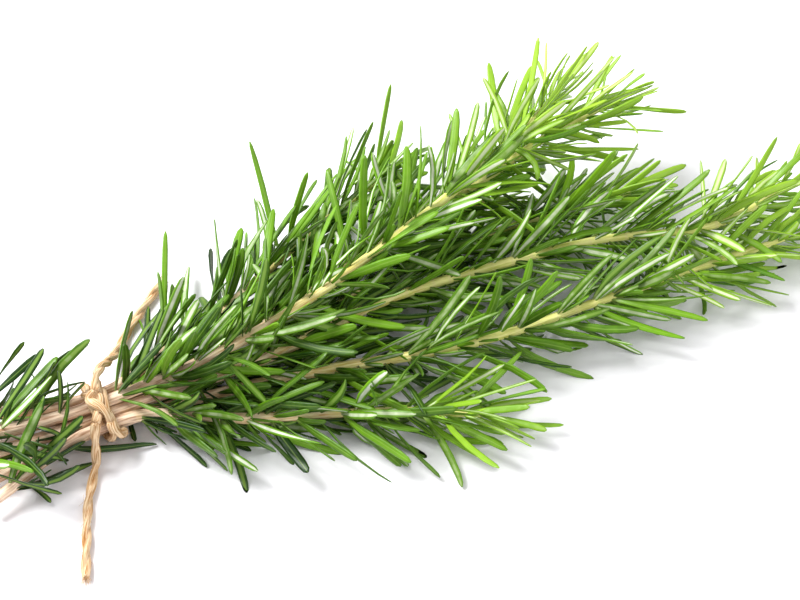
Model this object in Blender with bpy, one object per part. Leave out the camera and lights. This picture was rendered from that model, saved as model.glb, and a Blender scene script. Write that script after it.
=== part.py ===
"""A bunch of eight cut rosemary sprigs, tied with jute twine and lying on a flat surface.

Each sprig is a woody stem, groups of leaves that clasp it in collars, and a soft green tip. The twine goes
twice round the stems, is knotted on top and ends in two free tails that lie on the surface.

Everything is laid out with x along the bunch from the cut ends to the tips, y to the back and z up from the
surface, with the tie at x = 0. An empty then carries it all to the middle of the bunch.
"""

import math
import random

import bmesh
import bpy
import numpy as np
from mathutils import Matrix, Vector

MM = 0.001

# Clearances
GAP = 0.35 * MM                 # between any two pieces that touch
ROOM_CELL = 0.6 * MM            # size of the cubes that keep leaves out of each other's way
ROOM_SLACK = 0.35 * MM          # extra clearance for the coarseness of those cubes
ROOM_LOW = (-90 * MM, -100 * MM, -2 * MM)           # corners of the space that they fill
ROOM_HIGH = (300 * MM, 120 * MM, 80 * MM)
FLOOR_EASE = 3.0 * MM           # height from which a drooping leaf begins to bend along the surface

# The bunch as a whole, as shares of the sprigs' points below
BUNCH_REACH = 1.0               # along the bunch, ahead of the tie
BUNCH_FAN = 1.0                 # across the bunch, ahead of the tie

# Stems
STEM_RADIUS = 1.8 * MM          # from the cut ends through the tie
STEM_END_RADIUS = 1.25 * MM     # where the soft tip takes over
STEM_STEP = 8.0 * MM            # between the points of a stem's curve
STEM_SPACE = 0.6 * MM           # between neighbouring stems in the tie
STEM_PITCH = 2 * STEM_RADIUS + STEM_SPACE
PITCH_SCALE = STEM_PITCH / (4.2 * MM)
ROW_PITCH = STEM_PITCH * math.sin(math.pi / 3)
TIE_RUN = (-5.0 * MM, 9.0 * MM)  # where the stems run side by side, behind and ahead of the tie

# Collars and their leaves
COLLAR_LENGTH = 9.0 * MM
COLLAR_WALL = 0.7 * MM
COLLAR_SIDES = 6
COLLAR_SPARE = 0.05 * MM        # least space left inside the collar where its stem bends
COLLAR_MARGIN = 1.5 * MM        # from the collar's ends to the nearest leaves
CLASP = 0.6                     # where in the collar's wall a leaf begins
LEAVES_PER_COLLAR = 7
LEAF_LENGTH = 28.0 * MM
LEAF_WIDTH = 3.8 * MM
LEAF_THICKNESS = 1.2 * MM
LEAF_SPREAD = math.radians(36)  # from the stem, at the leaf's base
LEAF_BEND = math.radians(-6)    # turned back towards the stem by the leaf's end
PAIR_TURN = math.radians(100)   # from one pair of leaves to the next round the stem
PAIR_PLACES = (-1, 1, -0.33, 0.33)                  # of the pairs along the collar, from -1 to 1
LEAF_LENGTHS = (0.78, 1.06)     # shortest and longest, as shares of the leaf length
LEAF_FREE = 0.3                 # share of a leaf that may meet its own stem and collar
LEAF_TRIES = 90                 # places looked at before a leaf is left out
LEAF_SHRINK = 0.4               # share of its length that a leaf may lose over those tries
LEAF_TWIST = 0.5                # most that a leaf turns on its own line, in radians
LEAST_SPREAD = 0.12             # of any leaf, in radians
# How far, in radians, a leaf strays from what is wanted at first, and how much more over those tries
PLAY = {"angle": (0.12, 0.9), "spread": (0.1, 0.3), "bend": (0.3, 0.2)}
STANDOUT_PLAY = 0.2             # share of that play for the leaves placed by hand
BLADE_CUTS = (0.35, 0.8)        # where along a leaf its blank is cut across

# The face of a stem that its leaves leave bare: the angle of its middle from up to the front, the angle to its
# edges, and how far it reaches along each stem that has one, in millimetres from the tie
BARE_MIDDLE = math.radians(35)
BARE_HALF = math.radians(50)
BARE_REACH = {"crest": 100, "middle": 240, "front": 240}

# Soft tips
TIP_LENGTH = 15.0 * MM
TIP_END_RADIUS = 0.4 * MM
TIP_SIDES = 6
TIP_LEAVES = 9
TIP_LEAF_LENGTH = 23.0 * MM
TIP_SPREADS = (math.radians(30), math.radians(9))   # of the lowest and the highest leaf
TIP_LEAF_SPAN = (0.12, 0.92)    # where along the tip its leaves begin
TIP_LEAF_SHRINK = 0.35          # share of its length that the highest leaf loses
TIP_FREE = 0.4
TIP_CUTS = (0.33, 0.66)
GOLDEN_ANGLE = math.radians(137.5)

# Twine
TWINE_RADIUS = 1.5 * MM
TWINE_STEP = 2.4 * MM
TAIL_STEP = 4.8 * MM
TWINE_CHORD = 0.1 * MM          # room for the flats of its turns
TWINE_TURNS = 2
TWINE_PITCH = 3.6 * MM          # from one turn to the next along the bunch
TWINE_START = (-1.0 * MM, math.radians(120))        # place along the bunch and angle round it, under the knot
TURN_POINTS = 36                # round each turn
CROSSING = (0.22, 0.05)         # shares of a turn before its end between which the twine climbs over its turns
CROSSING_RISE = 2.2             # in twine radii
CROSSING_SHIFT = 1.2            # in pitches
TIE_HEIGHT = 2 * TWINE_RADIUS + 2 * GAP + TWINE_CHORD + STEM_RADIUS + ROW_PITCH     # of the middle row of stems
TWINE_SCALE = TWINE_RADIUS / (1.5 * MM)             # the knot and the tails' routes are given for twine 3 mm thick
KNOT_SIZE = (8.5 * MM * TWINE_SCALE, 8.0 * MM * TWINE_SCALE, 6.0 * MM * TWINE_SCALE)
KNOT_SIDE = 4.0 * MM            # to the front of the tie's middle
KNOT_SINK = 0.8 * MM            # of its underside below the top of the stems
KNOT_MIDDLE = (0.0, -KNOT_SIDE, TIE_HEIGHT + ROW_PITCH + STEM_RADIUS + KNOT_SIZE[2] / 2 - KNOT_SINK)
CLEAR_WAY = (-0.26, -0.56, 0.79)                    # from the twine, up and to the front, where no leaf lies over it
CLEAR_HEIGHTS = [3 * MM, 6 * MM, 9 * MM, 12 * MM, 16 * MM, 20 * MM]
TAIL_HEIGHT = TWINE_RADIUS + 0.1 * MM               # of the tails' middle line where they lie on the surface

# Numbers of the first leaf group and the first tip; the stems have the numbers from 1
FIRST_COLLAR = 20
FIRST_TIP = 80

# The sprigs. "slot" is the column and row that the stem takes in the tie. "cut" is its cut end, for stems 4.2 mm
# apart in the tie, and "ahead" the points that it passes on the way to its tip, in millimetres. "collars" are the
# distances along the stem from the tie to the middle of each leaf group, in millimetres.
SPRIGS = [
    {"name": "crest", "slot": (0.0, 1), "cut": (-50, 4, 17),
     "ahead": [(40, -4, 22), (68, -2, 28), (98, 5, 32), (126, 14, 34), (155, 25, 36), (178, 38, 37)],
     "collars": [26, 53, 81, 108, 134, 158]},
    {"name": "fork", "slot": (0.5, 0), "cut": (-46, 8, 9),
     "ahead": [(40, 3, 13), (72, 7, 18), (108, 15, 23), (138, 21, 25), (168, 27, 29), (194, 29, 32)],
     "collars": [62, 98, 134, 166]},
    {"name": "back", "slot": (1.5, 0), "cut": (-44, 20, 8),
     "ahead": [(25, 12, 9), (44, 16, 11), (76, 30, 13), (100, 39, 14), (120, 46, 15)],
     "collars": [27, 52, 78, 105]},
    {"name": "middle", "slot": (-0.5, 0), "cut": (-54, -1, 10),
     "ahead": [(50, -8, 16), (97, -5, 19), (133, -8, 20), (164, -12, 20), (204, -21, 18), (234, -15, 15)],
     "collars": [51, 80, 112, 144, 176, 206]},
    {"name": "front", "slot": (-1.0, -1), "cut": (-48, -9, 5),
     "ahead": [(45, -11, 10), (74, -18, 12), (100, -25, 13), (124, -29, 14), (158, -30, 14), (228, -31, 11)],
     "collars": [40, 70, 100, 130, 160, 192]},
    {"name": "low", "slot": (-1.5, 0), "cut": (-40, -16, 6),
     "ahead": [(42, -22, 9), (66, -32, 10), (91, -42, 9), (112, -53, 8)],
     "collars": [24, 50, 76, 100]},
    {"name": "inner", "slot": (0.0, -1), "cut": (-42, 1, 4),
     "ahead": [(56, 3, 8), (103, 7, 12), (138, 8, 15), (162, 5, 17), (188, 2, 18)],
     "collars": [58, 90, 126, 160]},
    {"name": "short", "slot": (1.0, -1), "cut": (-36, 10, 4),
     "ahead": [(46, 9, 7), (86, 17, 10), (120, 21, 14), (148, 19, 18)],
     "collars": [66, 98, 130]},
]

# Leaf groups behind the tie, on four of the stems: distance from the tie in millimetres
REAR_COLLARS = {"crest": -32, "middle": -36, "low": -29, "back": -30}

# Leaves that stand out from the bunch, by group: place along the collar or tip from -1 to 1, angle round the stem
# (0 up, 90 to the front) and spread from it in degrees, and length in millimetres
STANDOUTS = {
    "crest_leaves_rear": [(1, 15, 62, 31)],
    "crest_leaves_1": [(-1, 15, 68, 32)],
    "crest_leaves_3": [(-1, 240, 62, 30)],
    "crest_leaves_5": [(-1, 300, 38, 26)],
    "crest_leaves_6": [(-1, 285, 44, 31), (0, 305, 30, 28)],
    "crest_tip": [(-1, 15, 26, 26)],
    "fork_leaves_1": [(-1, 300, 56, 34)],
    "fork_leaves_2": [(0, 330, 66, 30)],
    "fork_leaves_4": [(0, 120, 32, 33)],
    "back_leaves_rear": [(0, 0, 72, 25)],
    "back_leaves_1": [(1, 300, 56, 35), (-1, 0, 62, 30)],
    "back_leaves_2": [(1, 270, 38, 28)],
    "back_leaves_3": [(0, 315, 62, 36), (0, 15, 38, 27), (1, 0, 72, 30)],
    "back_tip": [(0, 315, 44, 33), (1, 255, 32, 27), (1, 225, 20, 25)],
    "middle_leaves_rear": [(0, 150, 74, 32), (1, 120, 56, 28)],
    "middle_leaves_6": [(-1, 285, 68, 24)],
    "middle_tip": [(-1, 255, 44, 26)],
    "front_leaves_2": [(1, 90, 50, 31)],
    "front_leaves_3": [(1, 105, 32, 25)],
    "front_leaves_4": [(-1, 135, 44, 32), (1, 165, 44, 28)],
    "front_leaves_5": [(1, 75, 38, 30), (-1, 105, 44, 29)],
    "front_leaves_6": [(1, 120, 32, 30)],
    "low_leaves_1": [(0, 90, 32, 30)],
    "low_leaves_2": [(-1, 150, 26, 29)],
    "low_leaves_3": [(-1, 75, 44, 28)],
    "low_leaves_4": [(1, 60, 72, 34)],
    "inner_leaves_4": [(1, 15, 62, 33), (-1, 240, 50, 32)],
    "inner_tip": [(-1, 285, 20, 25), (0, 255, 26, 28)],
}

# The tails' routes, in millimetres from the middle of the knot. Points below the surface are raised to lie on it.
TAILS = {
    "front": [(-2.5, -4.6, -0.7), (-4, -6.8, -4.4), (-4.6, -7.8, -9.9), (-5.6, -9.5, -13.9), (-8.5, -14, -20),
              (-12, -20, -20), (-17, -32, -20), (-22, -45, -20)],
    "back": [(1, 4.4, 2.4), (3, 9, 2.5), (6, 14.5, -1.4), (10, 20.5, -7.9), (14, 26.5, -13.3), (19, 32.5, -20),
             (28, 40.5, -20), (38, 48.5, -20)],
}

COLORS = {
    "bark": (0.42, 0.27, 0.15),
    "leaf": (0.08, 0.21, 0.03),
    "young leaf": (0.25, 0.46, 0.05),
    "jute": (0.62, 0.46, 0.27),
}


# ---------------------------------------------------------------- layout

def distances_along(points):
    return np.concatenate([[0], np.cumsum(np.linalg.norm(np.diff(points, axis=0), axis=1))])


def even_steps(points, step):
    """The same line with its points about a step apart."""
    along = distances_along(points)
    even = np.linspace(0, along[-1], max(2, round(along[-1] / step)) + 1)
    return np.column_stack([np.interp(even, along, points[:, k]) for k in range(3)])


def smooth_curve(points, step):
    """Points about a step apart along a smooth curve through the given ones."""
    given = np.array(points, float)
    spans = np.linalg.norm(np.diff(given, axis=0), axis=1)
    slopes = np.diff(given, axis=0) / spans[:, None]
    inner = (slopes[:-1] * spans[1:, None] + slopes[1:] * spans[:-1, None]) / (spans[:-1] + spans[1:])[:, None]
    tangents = np.vstack([slopes[:1], inner, slopes[-1:]])
    fine = [given[:1]]
    for i, span in enumerate(spans):
        t = np.linspace(0, 1, 17)[1:, None]
        fine.append((2 * t**3 - 3 * t**2 + 1) * given[i] + (t**3 - 2 * t**2 + t) * span * tangents[i]
                    + (3 * t**2 - 2 * t**3) * given[i + 1] + (t**3 - t**2) * span * tangents[i + 1])
    return even_steps(np.vstack(fine), step)


def unit(vector):
    return vector / np.linalg.norm(vector)


class Stem:
    """One sprig's axis, from its cut end to the end of its soft tip, with its thickness."""

    def __init__(self, sprig, number):
        column, row = sprig["slot"]
        side = column * STEM_PITCH
        height = TIE_HEIGHT + row * ROW_PITCH
        route = [np.array((1, PITCH_SCALE, PITCH_SCALE)) * sprig["cut"] * MM]
        route += [(x, side, height) for x in TIE_RUN]
        route += [np.array((BUNCH_REACH, BUNCH_FAN, 1)) * point * MM for point in sprig["ahead"]]
        self.name = sprig["name"]
        self.number = number
        self.points = smooth_curve(route, MM)
        self.along = distances_along(self.points)
        self.tie = float(np.interp(0, self.points[:, 0], self.along))
        self.tip_start = float(self.along[-1]) - TIP_LENGTH

    def at(self, distance):
        """The point at a distance from the cut end."""
        return np.array([np.interp(distance, self.along, self.points[:, k]) for k in range(3)])

    def radius(self, distance):
        stations = (self.tie, self.tip_start, self.along[-1])
        return float(np.interp(distance, stations, (STEM_RADIUS, STEM_END_RADIUS, TIP_END_RADIUS)))

    def frame(self, distance):
        """The stem's direction there, with the directions up and to the front across it."""
        ahead = unit(self.at(distance + MM) - self.at(distance - MM))
        up = unit(np.array((0, 0, 1)) - ahead[2] * ahead)
        return ahead, up, np.cross(ahead, up)


def leaf_half_width(share):
    return LEAF_WIDTH / 2 * np.interp(share, (0, 0.15, 0.35, 0.8, 0.93, 1), (0.4, 0.7, 1, 0.92, 0.6, 0.0))


def leaf_half_thickness(share):
    return LEAF_THICKNESS / 2 * np.interp(share, (0, 0.2, 0.8, 1), (0.7, 1, 0.9, 0.0))


class Leaf:
    """One leaf's middle line, the direction across its blade and the direction that its upper side faces."""

    POINTS = 24

    def __init__(self, stem, distance, angle, spread, bend, twist, length, clasp):
        ahead, up, front = stem.frame(distance)
        out = math.cos(angle) * up + math.sin(angle) * front
        across = np.cross(ahead, out)
        self.share = np.linspace(0, 1, self.POINTS)
        lean = (spread + bend * self.share)[:, None]
        runs = np.cos(lean) * ahead + np.sin(lean) * out
        steps = (runs[:-1] + runs[1:]) / 2 * length / (self.POINTS - 1)
        line = stem.at(distance) + clasp * out + np.vstack([np.zeros(3), np.cumsum(steps, axis=0)])
        faces = np.sin(lean) * ahead - np.cos(lean) * out
        turn = twist * self.share[:, None]
        self.across = np.cos(turn) * across + np.sin(turn) * faces
        self.faces = np.cos(turn) * faces - np.sin(turn) * across
        self.half_width = leaf_half_width(self.share)
        self.half_thickness = leaf_half_thickness(self.share)
        # A leaf that would dip under the surface is bent along it instead.
        floor = np.abs(self.across[:, 2]) * self.half_width + np.abs(self.faces[:, 2]) * self.half_thickness
        above = line[:, 2] - floor
        eased = FLOOR_EASE * np.exp(np.minimum(above / FLOOR_EASE, 1) - 1)
        line[:, 2] = floor + np.where(above > FLOOR_EASE, above, eased)
        self.line = line

    def samples(self):
        """Points spread over the blade, and how far along the leaf each of them is."""
        sides = np.linspace(-1, 1, 5)
        reach = (self.half_width[:, None] * self.across)[:, None, :]
        spots = self.line[:, None, :] + sides[None, :, None] * reach
        return spots.reshape(-1, 3), np.repeat(self.share, len(sides))


class Room:
    """The space round the bunch in small cubes, each holding the number of what fills it."""

    BLOCKED = 9999

    def __init__(self, low, high):
        self.low = np.array(low)
        size = np.ceil((np.array(high) - self.low) / ROOM_CELL).astype(int)
        self.cells = np.zeros(size, np.int16)
        self.last = size - 1

    def fill(self, points, radius, owner):
        reach = int(math.ceil(radius / ROOM_CELL))
        span = np.arange(-reach, reach + 1)
        ball = np.array(np.meshgrid(span, span, span)).reshape(3, -1).T
        ball = ball[np.linalg.norm(ball, axis=1) * ROOM_CELL <= radius]
        spots = ((points - self.low) / ROOM_CELL).astype(int)
        spots = np.clip((spots[:, None, :] + ball).reshape(-1, 3), 0, self.last)
        self.cells[tuple(spots.T)] = owner

    def owners(self, points):
        spots = np.clip(((points - self.low) / ROOM_CELL).astype(int), 0, self.last)
        return self.cells[tuple(spots.T)]

    def takes(self, leaf, free, owners):
        """Whether a leaf's blade is clear, with its base free to meet the pieces that it grows from."""
        points, share = leaf.samples()
        found = self.owners(points)
        return not found[share >= free].any() and np.isin(found[share < free], (0,) + owners).all()

    def claim(self, leaf, free, owner):
        points, share = leaf.samples()
        reach = LEAF_THICKNESS + GAP + ROOM_SLACK
        self.fill(points[share >= free], reach, self.BLOCKED)
        self.fill(points[share < free], reach, owner)


class Group:
    """A collar or a soft tip, with the leaves that grow from it."""

    def __init__(self, name, stem, number, distance, is_tip):
        self.name = name
        self.stem = stem
        self.number = number
        self.distance = distance
        self.is_tip = is_tip
        self.free = TIP_FREE if is_tip else LEAF_FREE
        self.draw = random.Random(number)
        self.leaves = []
        self.inner = collar_inner_radius(stem, distance)

    def spot(self, place):
        """The distance along the stem, and from its middle, at which a leaf at a place from -1 to 1 begins."""
        if self.is_tip:
            distance = self.distance + TIP_LENGTH * np.interp(place, (-1, 1), TIP_LEAF_SPAN)
            return distance, self.stem.radius(distance) / 2
        distance = self.distance + place * (COLLAR_LENGTH / 2 - COLLAR_MARGIN)
        return distance, self.inner + COLLAR_WALL * CLASP

    def beside(self, angle):
        """An angle round the stem, turned to the nearest side where it is on the stem's bare face."""
        reach = BARE_REACH.get(self.stem.name, 0) * MM
        off = (angle - BARE_MIDDLE + math.pi) % (2 * math.pi) - math.pi
        if self.distance - self.stem.tie > reach or abs(off) > BARE_HALF:
            return angle
        return BARE_MIDDLE + math.copysign(BARE_HALF, off)

    def grow(self, room, place, angle, spread, length, play=1.0):
        """Add the first leaf that fits, from ever wider and shorter tries round the wanted one."""
        distance, clasp = self.spot(place)
        for attempt in range(LEAF_TRIES):
            ease = attempt / LEAF_TRIES * play
            turned, opened, bent = (self.draw.gauss(0, first * play + later * ease)
                                    for first, later in (PLAY["angle"], PLAY["spread"], PLAY["bend"]))
            twist = self.draw.uniform(-LEAF_TWIST, LEAF_TWIST)
            leaf = Leaf(self.stem, distance, angle + turned, max(LEAST_SPREAD, spread + opened),
                        LEAF_BEND * play + bent, twist, length * (1 - LEAF_SHRINK * ease), clasp)
            if room.takes(leaf, self.free, (self.number, self.stem.number)):
                room.claim(leaf, self.free, self.number)
                self.leaves.append(leaf)
                return


def collar_inner_radius(stem, distance):
    """Corner radius of a collar whose flats clear the stem, bent as it is there."""
    ahead = stem.frame(distance)[0]
    offsets = [stem.at(distance + side * COLLAR_LENGTH / 2) - stem.at(distance) for side in (-1, 1)]
    sag = max(np.linalg.norm(offset - offset @ ahead * ahead) for offset in offsets)
    return (stem.radius(distance) + max(GAP, sag + COLLAR_SPARE)) / math.cos(math.pi / COLLAR_SIDES)


def tie_route(stems):
    """The twine's middle line, round the stems in the tie and at last over its own turns into the knot."""
    slots = np.array([stem.at(stem.tie)[1:] for stem in stems])
    route = []
    climb = [TWINE_TURNS - share for share in CROSSING]
    for turn in np.linspace(0, TWINE_TURNS, TURN_POINTS * TWINE_TURNS + 1):
        angle = TWINE_START[1] - 2 * math.pi * turn
        outward = np.array((math.cos(angle), math.sin(angle)))
        corner = slots[np.argmax(slots @ outward)]
        rise = np.interp(turn, climb, (0, 1))
        reach = STEM_RADIUS + GAP + TWINE_CHORD + TWINE_RADIUS + rise * CROSSING_RISE * TWINE_RADIUS
        along = TWINE_START[0] + TWINE_PITCH * (turn - CROSSING_SHIFT * rise)
        route.append((along, *(corner + reach * outward)))
    return even_steps(np.array(route), TWINE_STEP)


def lay_out():
    """The stems, the leaf groups with their leaves, and the twine's routes."""
    stems = [Stem(sprig, number) for number, sprig in enumerate(SPRIGS, start=1)]
    tie = tie_route(stems)
    knot = np.array(KNOT_MIDDLE)
    tails = {}
    for name, route in TAILS.items():
        points = knot + np.array(route) * TWINE_SCALE * MM
        points[:, 2] = np.maximum(points[:, 2], TAIL_HEIGHT)
        tails[name] = smooth_curve(points, TAIL_STEP)
        tails[name][:, 2] = np.maximum(tails[name][:, 2], TAIL_HEIGHT)

    room = Room(ROOM_LOW, ROOM_HIGH)
    half_leaf = LEAF_THICKNESS / 2 + GAP + ROOM_SLACK
    for stem in stems:
        room.fill(stem.points, STEM_RADIUS + half_leaf, stem.number)
    for route in (tie, *tails.values()):
        room.fill(smooth_curve(route, MM), TWINE_RADIUS + half_leaf, room.BLOCKED)
    room.fill(knot[None, :], max(KNOT_SIZE) / 2 + half_leaf, room.BLOCKED)
    for height in CLEAR_HEIGHTS:
        lift = height * np.array(CLEAR_WAY)
        room.fill(knot[None, :] + lift, max(KNOT_SIZE) / 2 + half_leaf, room.BLOCKED)
        for tail in tails.values():
            room.fill(smooth_curve(tail, MM) + lift, TWINE_RADIUS + half_leaf, room.BLOCKED)

    collars = []
    tips = []
    for stem, sprig in zip(stems, SPRIGS):
        distances = [distance * BUNCH_REACH * MM for distance in sprig["collars"]]
        names = ["%s_leaves_%d" % (stem.name, i) for i in range(1, len(distances) + 1)]
        if stem.name in REAR_COLLARS:
            distances.append(REAR_COLLARS[stem.name] * MM)
            names.append(stem.name + "_leaves_rear")
        for name, distance in zip(names, distances):
            number = FIRST_COLLAR + len(collars)
            collars.append(Group(name, stem, number, stem.tie + distance, is_tip=False))
            outer = collars[-1].inner + COLLAR_WALL
            spots = [stem.at(stem.tie + distance + share * COLLAR_LENGTH / 2) for share in (-1, -0.5, 0, 0.5, 1)]
            room.fill(np.array(spots), outer + half_leaf, number)
        tips.append(Group(stem.name + "_tip", stem, FIRST_TIP + stem.number, stem.tip_start, is_tip=True))
        core = stem.points[stem.along >= stem.tip_start]
        room.fill(core, STEM_END_RADIUS + half_leaf, tips[-1].number)

    for group in collars + tips:
        for place, angle, spread, length in STANDOUTS.get(group.name, []):
            group.grow(room, place, math.radians(angle), math.radians(spread), length * MM, STANDOUT_PLAY)
    for i in range(TIP_LEAVES):
        share = i / (TIP_LEAVES - 1)
        spread = TIP_SPREADS[0] + (TIP_SPREADS[1] - TIP_SPREADS[0]) * share
        for tip in tips:
            length = TIP_LEAF_LENGTH * (1 - TIP_LEAF_SHRINK * share)
            tip.grow(room, 2 * share - 1, tip.number + i * GOLDEN_ANGLE, spread, length)
    for i in range(LEAVES_PER_COLLAR):
        pair, side = divmod(i, 2)
        for collar in collars:
            angle = collar.number + math.pi * side + PAIR_TURN * pair
            length = LEAF_LENGTH * collar.draw.uniform(*LEAF_LENGTHS)
            collar.grow(room, PAIR_PLACES[pair], collar.beside(angle), LEAF_SPREAD, length)
    return stems, collars, tips, tie, knot, tails


# ---------------------------------------------------------------- model

def new_collection(name, hidden=False):
    collection = bpy.data.collections.new(name)
    bpy.context.scene.collection.children.link(collection)
    collection.hide_render = hidden
    return collection


def place(name, data, collection):
    obj = bpy.data.objects.new(name, data)
    collection.objects.link(obj)
    return obj


def finish(obj, carrier, color, roughness):
    """Give a piece its own material and hang it on the carrier."""
    material = bpy.data.materials.new(obj.name)
    material.use_nodes = True
    shader = material.node_tree.nodes["Principled BSDF"]
    shader.inputs["Base Color"].default_value = (*COLORS[color], 1)
    shader.inputs["Roughness"].default_value = roughness
    shader.inputs["Metallic"].default_value = 0
    obj.data.materials.append(material)
    obj.parent = carrier


def tube(name, points, radii, resolution, collection):
    """A closed round bar through the points, a curve with a bevel and filled caps."""
    curve = bpy.data.curves.new(name, "CURVE")
    curve.dimensions = "3D"
    curve.bevel_depth = max(radii)
    curve.bevel_resolution = resolution
    curve.use_fill_caps = True
    spline = curve.splines.new("POLY")
    spline.points.add(len(points) - 1)
    for spot, point, radius in zip(spline.points, points, radii):
        spot.co = (*point, 1)
        spot.radius = radius / max(radii)
    return place(name, curve, collection)


def as_mesh(obj):
    """The same piece as a mesh with its caps welded on."""
    bpy.context.view_layer.update()
    mesh = bpy.data.meshes.new_from_object(obj.evaluated_get(bpy.context.evaluated_depsgraph_get()))
    solid = place(obj.name + "_solid", mesh, obj.users_collection[0])
    solid.matrix_world = obj.matrix_world
    bpy.data.objects.remove(obj)
    bm = bmesh.new()
    bm.from_mesh(mesh)
    bmesh.ops.remove_doubles(bm, verts=bm.verts, dist=0.00001)
    bm.to_mesh(mesh)
    bm.free()
    return solid


def join(obj, others):
    """Union other pieces into this one."""
    for other in others:
        union = obj.modifiers.new(other.name, "BOOLEAN")
        union.operation = "UNION"
        union.object = other
        other.hide_render = True
        other.display_type = "WIRE"


def leaf_blank():
    """A three-sided spike, one unit long and cut across into bands, that every leaf is shaped from."""
    bm = bmesh.new()
    bmesh.ops.create_cone(bm, cap_ends=True, segments=3, radius1=1, radius2=0, depth=1,
                          matrix=Matrix.Translation((0, 0, 0.5)))
    for share in BLADE_CUTS:
        bmesh.ops.bisect_plane(bm, geom=bm.verts[:] + bm.edges[:] + bm.faces[:], plane_co=(0, 0, share),
                               plane_no=(0, 0, 1))
    mesh = bpy.data.meshes.new("leaf_blank")
    bm.to_mesh(mesh)
    bm.free()
    return mesh


def leaf_blades(group, blank, cutters):
    """A group's leaves, each one the blank bent along the leaf's middle line, its ridge on the upper side."""
    blades = []
    for leaf in group.leaves:
        mesh = blank.copy()
        for vert in mesh.vertices:
            share = vert.co.z
            side = math.copysign(1, vert.co.x) if abs(vert.co.x) > abs(vert.co.y) else 0
            rise = -1 if side else 1
            line, across, faces = (np.array([np.interp(share, leaf.share, rows[:, k]) for k in range(3)])
                                   for rows in (leaf.line, leaf.across, leaf.faces))
            vert.co = line + side * leaf_half_width(share) * across + rise * leaf_half_thickness(share) * faces
        blades.append(place(group.name + "_blade", mesh, cutters))
    return blades


def make_collar(group, parts, cutters, blank):
    """A ring round the stem with the group's leaves joined to it."""
    bm = bmesh.new()
    bmesh.ops.create_cone(bm, cap_ends=False, segments=COLLAR_SIDES, radius1=group.inner, radius2=group.inner,
                          depth=COLLAR_LENGTH)
    bmesh.ops.solidify(bm, geom=bm.faces, thickness=-COLLAR_WALL)
    bmesh.ops.recalc_face_normals(bm, faces=bm.faces)
    ahead, up, front = group.stem.frame(group.distance)
    turn = Matrix((Vector(up), Vector(front), Vector(ahead))).transposed().to_4x4()
    bm.transform(Matrix.Translation(group.stem.at(group.distance)) @ turn)
    mesh = bpy.data.meshes.new(group.name)
    bm.to_mesh(mesh)
    bm.free()
    collar = place(group.name, mesh, parts)
    join(collar, leaf_blades(group, blank, cutters))
    return collar


def make_tip(group, parts, cutters, blank):
    """The soft end of a shoot, with its crowded leaves joined to it."""
    length = TIP_LENGTH - GAP
    bm = bmesh.new()
    bmesh.ops.create_cone(bm, cap_ends=True, segments=TIP_SIDES, radius1=1, radius2=1, depth=length,
                          matrix=Matrix.Translation((0, 0, GAP + length / 2)))
    for share in TIP_CUTS:
        bmesh.ops.bisect_plane(bm, geom=bm.verts[:] + bm.edges[:] + bm.faces[:],
                               plane_co=(0, 0, TIP_LENGTH * share), plane_no=(0, 0, 1))
    for vert in bm.verts:
        distance = group.distance + vert.co.z
        up, front = group.stem.frame(distance)[1:]
        radius = group.stem.radius(distance)
        vert.co = group.stem.at(distance) + radius * (vert.co.x * up + vert.co.y * front)
    bmesh.ops.recalc_face_normals(bm, faces=bm.faces)
    mesh = bpy.data.meshes.new(group.name)
    bm.to_mesh(mesh)
    bm.free()
    tip = place(group.name, mesh, parts)
    join(tip, leaf_blades(group, blank, cutters))
    return tip


def make_tie(route, knot, parts, cutters):
    """The two turns of twine and the knot on top of them, as one piece."""
    turns = as_mesh(tube("twine_turns", route, [TWINE_RADIUS] * len(route), 2, cutters))
    bm = bmesh.new()
    bmesh.ops.create_uvsphere(bm, u_segments=12, v_segments=8, radius=0.5)
    bmesh.ops.scale(bm, vec=KNOT_SIZE, verts=bm.verts)
    bmesh.ops.translate(bm, vec=knot, verts=bm.verts)
    mesh = bpy.data.meshes.new("twine_tie")
    bm.to_mesh(mesh)
    bm.free()
    tie = place("twine_tie", mesh, parts)
    join(tie, [turns])
    return tie


def main():
    for obj in list(bpy.data.objects):
        bpy.data.objects.remove(obj)
    parts = new_collection("rosemary_bunch")
    cutters = new_collection("joined_shapes", hidden=True)
    carrier = place("bunch_middle", None, parts)
    blank = leaf_blank()
    stems, collars, tips, tie, knot, tails = lay_out()

    for stem in stems:
        stations = np.linspace(0, stem.tip_start, round(stem.tip_start / STEM_STEP) + 1)
        radii = [stem.radius(station) for station in stations]
        bar = tube(stem.name + "_stem", [stem.at(station) for station in stations], radii, 1, parts)
        finish(bar, carrier, "bark", 0.7)
    for group in collars:
        finish(make_collar(group, parts, cutters, blank), carrier, "leaf", 0.45)
    for group in tips:
        finish(make_tip(group, parts, cutters, blank), carrier, "young leaf", 0.45)
    finish(make_tie(tie, knot, parts, cutters), carrier, "jute", 0.9)
    # The origin is the middle of the bunch without its tails, at the surface that it lies on.
    bpy.context.view_layer.update()
    depsgraph = bpy.context.evaluated_depsgraph_get()
    corners = np.array([vert.co for obj in parts.objects if obj is not carrier
                        for vert in obj.evaluated_get(depsgraph).to_mesh().vertices])
    middle = (corners.min(axis=0) + corners.max(axis=0)) / 2
    carrier.location = (-middle[0], -middle[1], -corners[:, 2].min())
    for obj in cutters.objects:
        obj.parent = carrier
    for name, route in tails.items():
        tail = tube("twine_tail_" + name, route, [TWINE_RADIUS] * len(route), 2, parts)
        finish(tail, carrier, "jute", 0.9)


main()
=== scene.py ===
"""The looks of a tied bunch of rosemary sprigs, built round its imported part.

The sprigs are laid out with the same sizes and the same draws as the part's own leaves, so each detailed leaf
lies where its solid does. Then the finer leaves go in: the pairs between the main groups and the small tufts
in the leaf joints. Bark, leaves and twine are meshes that replace the part's plain ones.

Lengths are in metres. The layout has the tie at x = 0, and BUNCH_MIDDLE carries it to the part's own origin.
"""

import math
import random

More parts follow.
